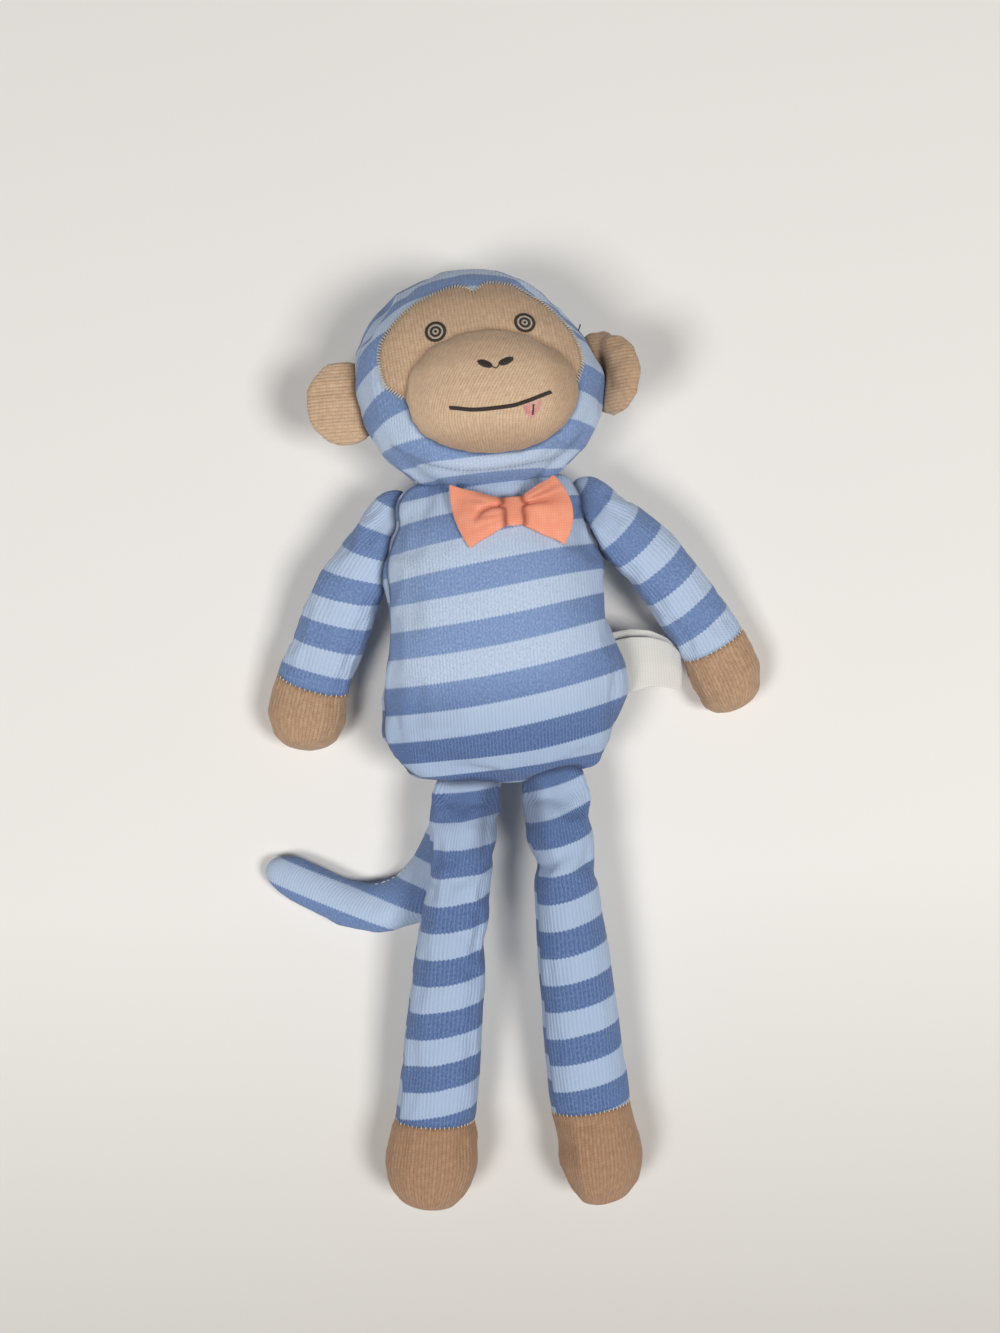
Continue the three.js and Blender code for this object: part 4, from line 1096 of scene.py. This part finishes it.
snout = [muzzle_form]
NOSTRILS = {"left": ((1.2, 91.5), -22), "right": ((8.5, 92.0), 24)}  # middle and slope in degrees
nose_pieces = {}
for side, (centre, slope) in NOSTRILS.items():
    t = np.linspace(-1, 1, 17)
    heading = np.array([math.cos(math.radians(slope)), math.sin(math.radians(slope))])
    line = np.array(centre) + 2.6 * t[:, None] * heading
    oval = satin(line, 0.25 + 1.15 * np.sqrt(1 - t ** 2))
    nose_pieces[side] = embroider(side + "_nostril_threads", oval, snout, 0.55, brown_thread)
link = through([(3.4, 90.5), (4.9, 89.7), (6.2, 90.9)], 9, closed=False)
nose_link = embroider("nose_link_threads", satin(link, 0.25, 0.2), snout, 0.36, brown_thread)
SMILE = [(-11.9, 77.5), (-3.0, 76.0), (8.5, 76.4), (14.5, 77.7), (19.0, 79.3), (23.3, 80.9)]
smile = through(SMILE, 74, closed=False)
mouth = embroider("mouth_threads", satin(smile, 0.75, 0.35), snout, 0.62, brown_thread)
t = np.linspace(0, 1, 13)
droop = np.stack([13.6 + 6.0 * t, 76.7 + 2.0 * t], axis=1)
tip = droop - np.stack([0 * t, 1.4 + 4.6 * np.sin(math.pi * (0.08 + 0.84 * t)) ** 0.7], axis=1)
tip[::2, 1] += 0.9
tongue = embroider("tongue_threads", (droop, tip), snout, 0.42, pink_thread)
centre_line = satin(through([(17.0, 76.6), (16.6, 73.6)], 8, closed=False), 0.35, 0.1)
tongue_line = embroider("tongue_line_threads", centre_line, [muzzle_form, tongue], 0.5, brown_thread)

# %% [markdown]
# ## Stitches on the seams
# Cream thread shows as dots along the wrist and ankle seams and inside the bend of the tail. Below the chin a blue
# thread closes the head, with shade painted along it for a shallow crease, and a loose navy end stands up above
# the right ear.

# %% Seam stitches
def ring_round(seam, cover, count, shift):
    surface = surface_of(cover)
    across = unit(np.cross(seam[1], [0, 0, 1]))
    up = np.cross(across, seam[1])
    centre = seam[0] + shift * seam[1]
    found = []
    for angle in np.arange(count) * 2 * math.pi / count:
        spoke = math.cos(angle) * across + math.sin(angle) * up
        hit = surface.ray_cast(Vector((centre + 60 * spoke) * MM), Vector(-spoke))[0]
        found.append(np.array(hit) / MM)
    return np.array(found)


def nearest(surface, spot):
    return np.array(surface.find_nearest(Vector(np.array(spot) * MM))[0]) / MM


DOTS = {"arm": ("wrist", 40), "leg": ("ankle", 48)}
seam_threads = {}
for key, cover in sleeves.items():
    place, count = DOTS[key[1]]
    upper = ring_round(limb_seams[key], cover, count, -0.55)
    lower = ring_round(limb_seams[key], ends[key], count, 0.55)
    marks = list(zip(upper, lower))
    seam_threads[key] = sew(f"{key[0]}_{place}_stitches", marks, [cover, ends[key]], 0.36, cream_thread)

CHIN = [(-34.5, 69.5), (-28, 65.0), (-20.3, 61.2), (-7.7, 58.2), (7.4, 58.4), (22.0, 61.0), (30, 65.5), (35.5, 70.5)]
chin = through(CHIN, 100, closed=False)
chin_line = from_above(chin, head_front)
chin_stitches = sew("chin_stitches", list(zip(chin_line[:-1:2], chin_line[1::2])), [head_front], 0.3, blue_thread)
places = points(head_front)
# painted shade along the chin's seam
keep_painted_shade(head_front, 0.4 * hump(gap_to(places, chin), 0.9) * (places[:, 2] > head_seam[0][2]))
# painted shade: the cloth below the chin is darker
keep_painted_shade(head_front, 0.3 * smoothstep(60, 54, places[:, 1]))
root = nearest(surface_of(head_front), (39.9, 111.5, 44))
loose = [(root + [-0.4, -1.2, -0.2], root + [0.9, 2.0, 1.4])]
loose_end = sew("loose_thread_end", loose, [head_front], 1.1, navy_thread)

bend_line = through([(-56.0, -92.5), (-49.6, -90.1), (-43.6, -88.1)], 14, closed=False)
tail_surface = surface_of(tail_form)
holes = [nearest(tail_surface, (a, b, 9)) for a, b in bend_line]
tail_stitches = sew("tail_stitches", list(zip(holes[::2], holes[1::2])), [tail_form], 0.38, cream_thread)

# %% [markdown]
# ## The bow
# A strip of coral cotton is sewn to a ring, pressed flat and gathered in the middle by a narrow band, which makes two
# wings. The ring starts as a circle of edges that is drawn out downwards row by row. Its vertices are then laid out
# between the band and the outer edges, higher in the middle of a wing than at its rim, with the crease that runs out
# from the gathers and a few ripples at the right wing's top.

# %% Bow wings
ROWS = 18
BOW = (7.9, 42.2)  # its middle
BOW_SEAT = 52.4  # the chest's height below the bow, where the chest isn't higher
bpy.ops.mesh.primitive_circle_add(vertices=96, radius=0.02, rotation=(math.pi / 2, 0, 0))
wings = bpy.context.object
wings.name = "bow_wings"
bpy.ops.object.transform_apply(location=False, rotation=True, scale=False)
edit(wings)
for _ in range(ROWS):
    bpy.ops.mesh.extrude_edges_move(TRANSFORM_OT_translate={"value": (0, -MM, 0)})
bpy.ops.object.mode_set(mode="OBJECT")
x, y, z = points(wings).T
turn = np.arctan2(z, x)
v = 1 + 2 * y / ROWS
a = np.sign(np.cos(turn)) * np.abs(np.cos(turn)) ** 0.75
front = np.sign(np.sin(turn)) * np.abs(np.sin(turn)) ** 0.5
t = np.abs(a)


def edge_of(v, top, halfway, bottom):
    top, halfway, bottom = (np.array(p, float) for p in (top, halfway, bottom))
    v = v[:, None]
    return top * v * (v + 1) / 2 + halfway * (1 - v * v) + bottom * v * (v - 1) / 2


inner = edge_of(v, (BOW[0], 46.0), BOW, (BOW[0], 38.4))
left = edge_of(v, (-14.4, 54.6), (-13.5, 41.7), (-8.0, 29.2))
right = edge_of(v, (22.3, 55.4), (29.2, 42.2), (24.8, 28.5))
outer = np.where((a < 0)[:, None], left, right)
flat = inner + (outer - inner) * t[:, None] ** 0.95
flat[:, 1] += 1.2 * v * np.sin(math.pi * t) * np.where(a < 0, -0.6, -0.5)
crease_at = np.where(a < 0, 0.45 - 0.3 * t - 1.6 * np.maximum(t - 0.33, 0) ** 1.2, 0.42 - 0.1 * t)
fade = np.clip(np.where(a < 0, 4 - 5.5 * t, 1.15 - t), 0, 1) * np.clip(t * 8, 0, 1)
crease_and_painted_shade = hump(v - crease_at, 0.07 + 0.1 * t) * fade
ripple = np.where(a > 0, np.sin(v * 26) * hump(v - 0.68, 0.24), np.sin(v * 17 + 1.0) * 0.35)
ripple *= np.clip(t * 3 - 0.4, 0, 1) * np.clip(3 - 2.6 * t, 0, 1)
puff = (0.6 + 3.8 * np.sin(math.pi * t ** 0.8) ** 0.8) * (1 - 0.45 * np.abs(v) ** 3)
lift = np.where(front > 0, front * (puff - 3.0 * crease_and_painted_shade + 0.9 * ripple), 0.5 * front)
ground = from_above(flat, body_front)[:, 2]
put(wings, np.column_stack([flat, np.maximum(ground, BOW_SEAT) + 1.3 + lift]))
# painted shade in the crease from the gathers and in the troughs of the right wing's ripples
keep_painted_shade(wings, np.where(front > 0.2, 0.8 * crease_and_painted_shade + 0.45 * np.maximum(-ripple, 0) * (a > 0), 0))
sharp = points(wings)
apply_modifier(wings, "SMOOTH", factor=0.5, iterations=8)
put(wings, sharp + (points(wings) - sharp) * smoothstep(0.55, 0.85, t)[:, None])
thicken(wings, 0.8, 0.0)
show_box("bow wings", wings)

# %% [markdown]
# The band round the middle is a short strip folded round the gathers: a rounded box, narrower at its waist, with
# a shallow fold down its left side.

# %% Bow band
bpy.ops.mesh.primitive_cube_add(size=1)
band_piece = bpy.context.object
band_piece.name = "bow_band"
edit(band_piece)
bpy.ops.mesh.subdivide(number_cuts=9)
bpy.ops.object.mode_set(mode="OBJECT")
x, y, z = (points(band_piece) * MM).T
waist = 1 - 0.12 * np.cos(2 * math.pi * y) ** 2 + 0.1 * (2 * y) ** 2
bulge = np.sqrt(1 - 0.6 * (2 * x) ** 2) * (1 - 0.2 * (2 * y) ** 4)
fold = 0.35 * hump(x + 0.3, 0.06) + 0.12 * hump(x - 0.1, 0.06)
UNDER = -1.2
top = np.where(z > 0, 4.6 * bulge - fold, UNDER)
flat = np.column_stack([BOW[0] + 10.2 * x * waist, BOW[1] + 0.1 + 10.6 * y * (1 - 0.06 * (2 * x) ** 2)])
seat = np.maximum(from_above(flat, body_front)[:, 2], BOW_SEAT)
rise = np.where(np.abs(z) > 0.49, top, (z + 0.5) * top + (0.5 - z) * UNDER)
put(band_piece, np.column_stack([flat, seat + 1.0 + rise]))
apply_modifier(band_piece, "SMOOTH", factor=0.5, iterations=2)
apply_modifier(band_piece, "SUBSURF", levels=1, render_levels=1)
pick(band_piece)
bpy.ops.object.shade_smooth()
show_box("bow band", band_piece)

# %% [markdown]
# ## Coral cotton
# A plain woven cotton in a warm coral, slightly brushed. The weave is two crossed waves. The real threads are about
# half a millimetre apart, drawn here at 0.9 mm so that they show. Thicker yarn gives spots of about 4 mm, and the
# fold lines of the gathers are a little darker because less light gets in.

# %% Coral cotton
def weave_nodes(tree, warp, weft, distortion):
    where = add(tree, "TexCoord")
    waves = [add(tree, "TexWave", {"Vector": where, "Scale": WAVE / gap, "Distortion": distortion, "Detail": 1.0},
                 bands_direction=way) for way, gap in (("X", warp), ("Y", weft))]
    return where, add(tree, "Math", {0: waves[0], 1: waves[1]}, operation="MULTIPLY")


THREAD_GAP, SPOT = 0.924, 3.846  # mm
coral, tree, shader = new_material("coral cotton", Roughness=0.88, Sheen_Weight=0.25, Sheen_Roughness=0.45)
where, weave = weave_nodes(tree, THREAD_GAP, THREAD_GAP, 1.5)
slub = add(tree, "TexNoise", {"Vector": where, "Scale": 1 / (SPOT * MM), "Detail": 2.0})
tone = add(tree, "Mix", {0: slub, 6: "#F69474", 7: "#FFB294"})
dull = add(tree, "MapRange", {"Value": weave, "From Min": 0.0, "From Max": 0.5, "To Min": 0.3, "To Max": 0.0})
cotton = add(tree, "Mix", {0: dull, 6: tone, 7: "#D9714F"})
coat(tree, shader, mix_painted_shade(tree, cotton, 0.85, "#933E28"), weave, 0.45, 0.15)
for piece, other, reach in ((wings, band_piece, 0.9), (band_piece, wings, 0.7)):
    piece.data.materials.append(coral)
    paint_shade_near(piece, [other], reach)
print(coral.name, "on the bow")

# %% [markdown]
# ## The side label
# A strip of unbleached tape is folded in half and caught in the side seam with its two ends. It starts as a grid,
# half of which becomes the front leaf and half the back leaf, which stands a little higher, so its edge shows. It
# is left blank. Its ribs are drawn about a millimetre apart, coarser than on real tape, so that they show.

# %% Label
bpy.ops.mesh.primitive_grid_add(x_subdivisions=48, y_subdivisions=16, size=2)
label = bpy.context.object
label.name = "label_loop"
u, v, z = (points(label) * MM).T
t = 1 - np.abs(u)
leaf = np.where(u < 0, 1.0, -1.0)
top = np.stack([np.interp(t, [0, 0.45, 0.8, 1], [40.5, 55.0, 65.0, 69.6]),
                np.interp(t, [0, 0.3, 0.55, 0.8, 1], [-6.4, -5.2, -5.9, -8.4, -13.0])], axis=1)
low = np.stack([np.interp(t, [0, 0.5, 1], [41.6, 56.4, 69.3]),
                np.interp(t, [0, 0.25, 0.5, 0.75, 1], [-29.4, -27.0, -25.2, -26.3, -28.0])], axis=1)
flat = low + (top - low) * ((v + 1) / 2)[:, None]
flat[:, 0] += 0.4 * np.sin(math.pi * (v + 1) / 2) * t
flat[:, 1] += np.where(leaf < 0, 3.2 * (1 - t ** 3), 0)
height = 21.5 - 5.0 * t + 2.4 * np.sin(math.pi * t) * (0.4 + 0.6 * (1 + v) / 2) - 2.5 * t * np.clip(v, 0, 1)
gap = 0.45 + 1.5 * np.sqrt(np.clip(1 - t ** 2, 0, 1)) * np.clip(4 * t, 0, 1)
put(label, np.column_stack([flat, height + leaf * gap]))
apply_modifier(label, "SMOOTH", factor=0.5, iterations=3)
thicken(label, 0.45, 0.0)

RIB_GAPS = (1.0472, 0.82673)  # mm, along the tape and across it
tape, tree, shader = new_material("unbleached cotton tape", Roughness=0.9, Sheen_Weight=0.1)
where, weave = weave_nodes(tree, *RIB_GAPS, 1.0)
coat(tree, shader, add(tree, "Mix", {0: weave, 6: "#DAD6CE", 7: "#E8E4DC"}), weave, 0.3, 0.1)
label.data.materials.append(tape)
show_box("label", label)

# %% [markdown]
# ## The rattle inside
# The rattle in the belly can't be seen, but it is heard and felt. Its two shells are milky polypropylene, the beads a
# glossier yellow plastic. Both have the faint cloudiness of moulded plastic, about 8 mm across.

# %% Rattle plastics
CLOUD_SCALE = 120.0  # to a metre


def moulded(name, deep, high, roughness):
    material, tree, shader = new_material(name, Roughness=roughness)
    where = add(tree, "TexCoord")
    cloud = add(tree, "TexNoise", {"Vector": where, "Scale": CLOUD_SCALE, "Detail": 3.0})
    coat(tree, shader, add(tree, "Mix", {0: cloud, 6: deep, 7: high}), cloud, 0.08, 0.1)
    return material


milky = moulded("milky plastic", "#DAD8D2", "#ECEAE4", 0.4)
yellow = moulded("yellow plastic", "#E0B23C", "#EDC65A", 0.25)
for name, node in frame["nodes"].items():
    if name.startswith(("rattle", "bead")):
        node.data.materials.clear()
        node.data.materials.append(milky if name.startswith("rattle") else yellow)
print("rattle in", milky.name, "with beads in", yellow.name)

# %% [markdown]
# ## What moves with what
# Hands, feet and face ride on their bodies. Sleeves, trouser legs, ears, tail and the head's covers are sewn down
# at one end; here they are only fixed where they lie, and the solids that they replace are hidden.

# %% Bodies and replaced solids
bpy.data.objects.remove(stitch)


def dress(piece, body, slot, *nodes, fill=None):
    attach(piece, body)
    if nodes:
        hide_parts(*nodes)


def bend(piece, fixed, moving, start, end, slot, *nodes, fill):
    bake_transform(piece)
    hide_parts(*nodes)


dress(body_front, "torso", "striped_knit", "torso_front_panel", "torso_front_filling", fill=0.85)
dress(body_back, "torso", "striped_knit", "torso_back_panel", "torso_back_filling", fill=0.85)
neck_run = neck + [0, -4, 0], neck + [0, 9, 0]
bend(head_front, "torso", "head", *neck_run, "striped_knit", "head_front_panel", "head_filling", fill=0.9)
bend(head_back, "torso", "head", *neck_run, "striped_knit", "head_back_panel", fill=0.9)
dress(muzzle_form, "head", "tan_knit", "muzzle_panel", "muzzle_filling", fill=0.9)
muzzle_form.name = "muzzle_cover"
tail_run = joints["tail_wag"] + [4, 0, 0], joints["tail_wag"] + [-12, -10, 0]
bend(tail_form, "torso", "tail", *tail_run, "striped_knit", "tail_sleeve", "tail_filling", fill=0.6)
tail_form.name = "tail_cover"
for side, sign in SIDES.items():
    ear, seam = ear_forms[side], joints[side + "_ear_fold"]
    ear.name = side + "_ear_cover"
    bend(ear, "head", side + "_ear", seam, seam + [sign * 6, 0, 0], "tan_knit",
         side + "_ear_front", side + "_ear_back", side + "_ear_filling", fill=0.5)
    for limb, end in END.items():
        name, joint, spine = f"{side}_{limb}", joints[f"{side}_{limb}_swing"], spines[side, limb]
        heading = unit(spine[ROOT + 6] - spine[ROOT])
        bend(sleeves[side, limb], "torso", name, joint - 3 * heading, joint + 12 * heading, "striped_knit",
             name + "_sleeve", name + "_filling", fill=0.85)
        dress(ends[side, limb], name, "tan_knit", f"{side}_{end}", fill=0.85)
        dress(seam_threads[side, limb], name, "pale_thread")
dress(face, "head", "tan_knit", "face_patch")
for side in SIDES:
    dark, grey = eye_pieces[side]
    dress(dark, "head", "dark_thread", side + "_eye_rim", side + "_pupil")
    dress(grey, "head", "pale_thread", side + "_eye_white")
    dress(nose_pieces[side], "head", "dark_thread", side + "_nostril")
dress(mouth, "head", "dark_thread", "mouth_line")
dress(tongue, "head", "pink_thread", "tongue")
dress(whip, "head", "pale_thread")
for piece in (nose_link, tongue_line, chin_stitches, loose_end):
    dress(piece, "head", "dark_thread")
dress(tail_stitches, "tail", "pale_thread")
dress(wings, "torso", "coral_cloth", "bow_loop")
dress(band_piece, "torso", "coral_cloth", "bow_knot", fill=0.7)
dress(label, "torso", "label_cloth", "side_label")

# %% [markdown]
# ## Size
# The box of the finished toy is printed, in millimetres.

# %% Size and finish
low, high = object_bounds()
print("visual box in mm:", [round(x / MM, 1) for x in high - low])
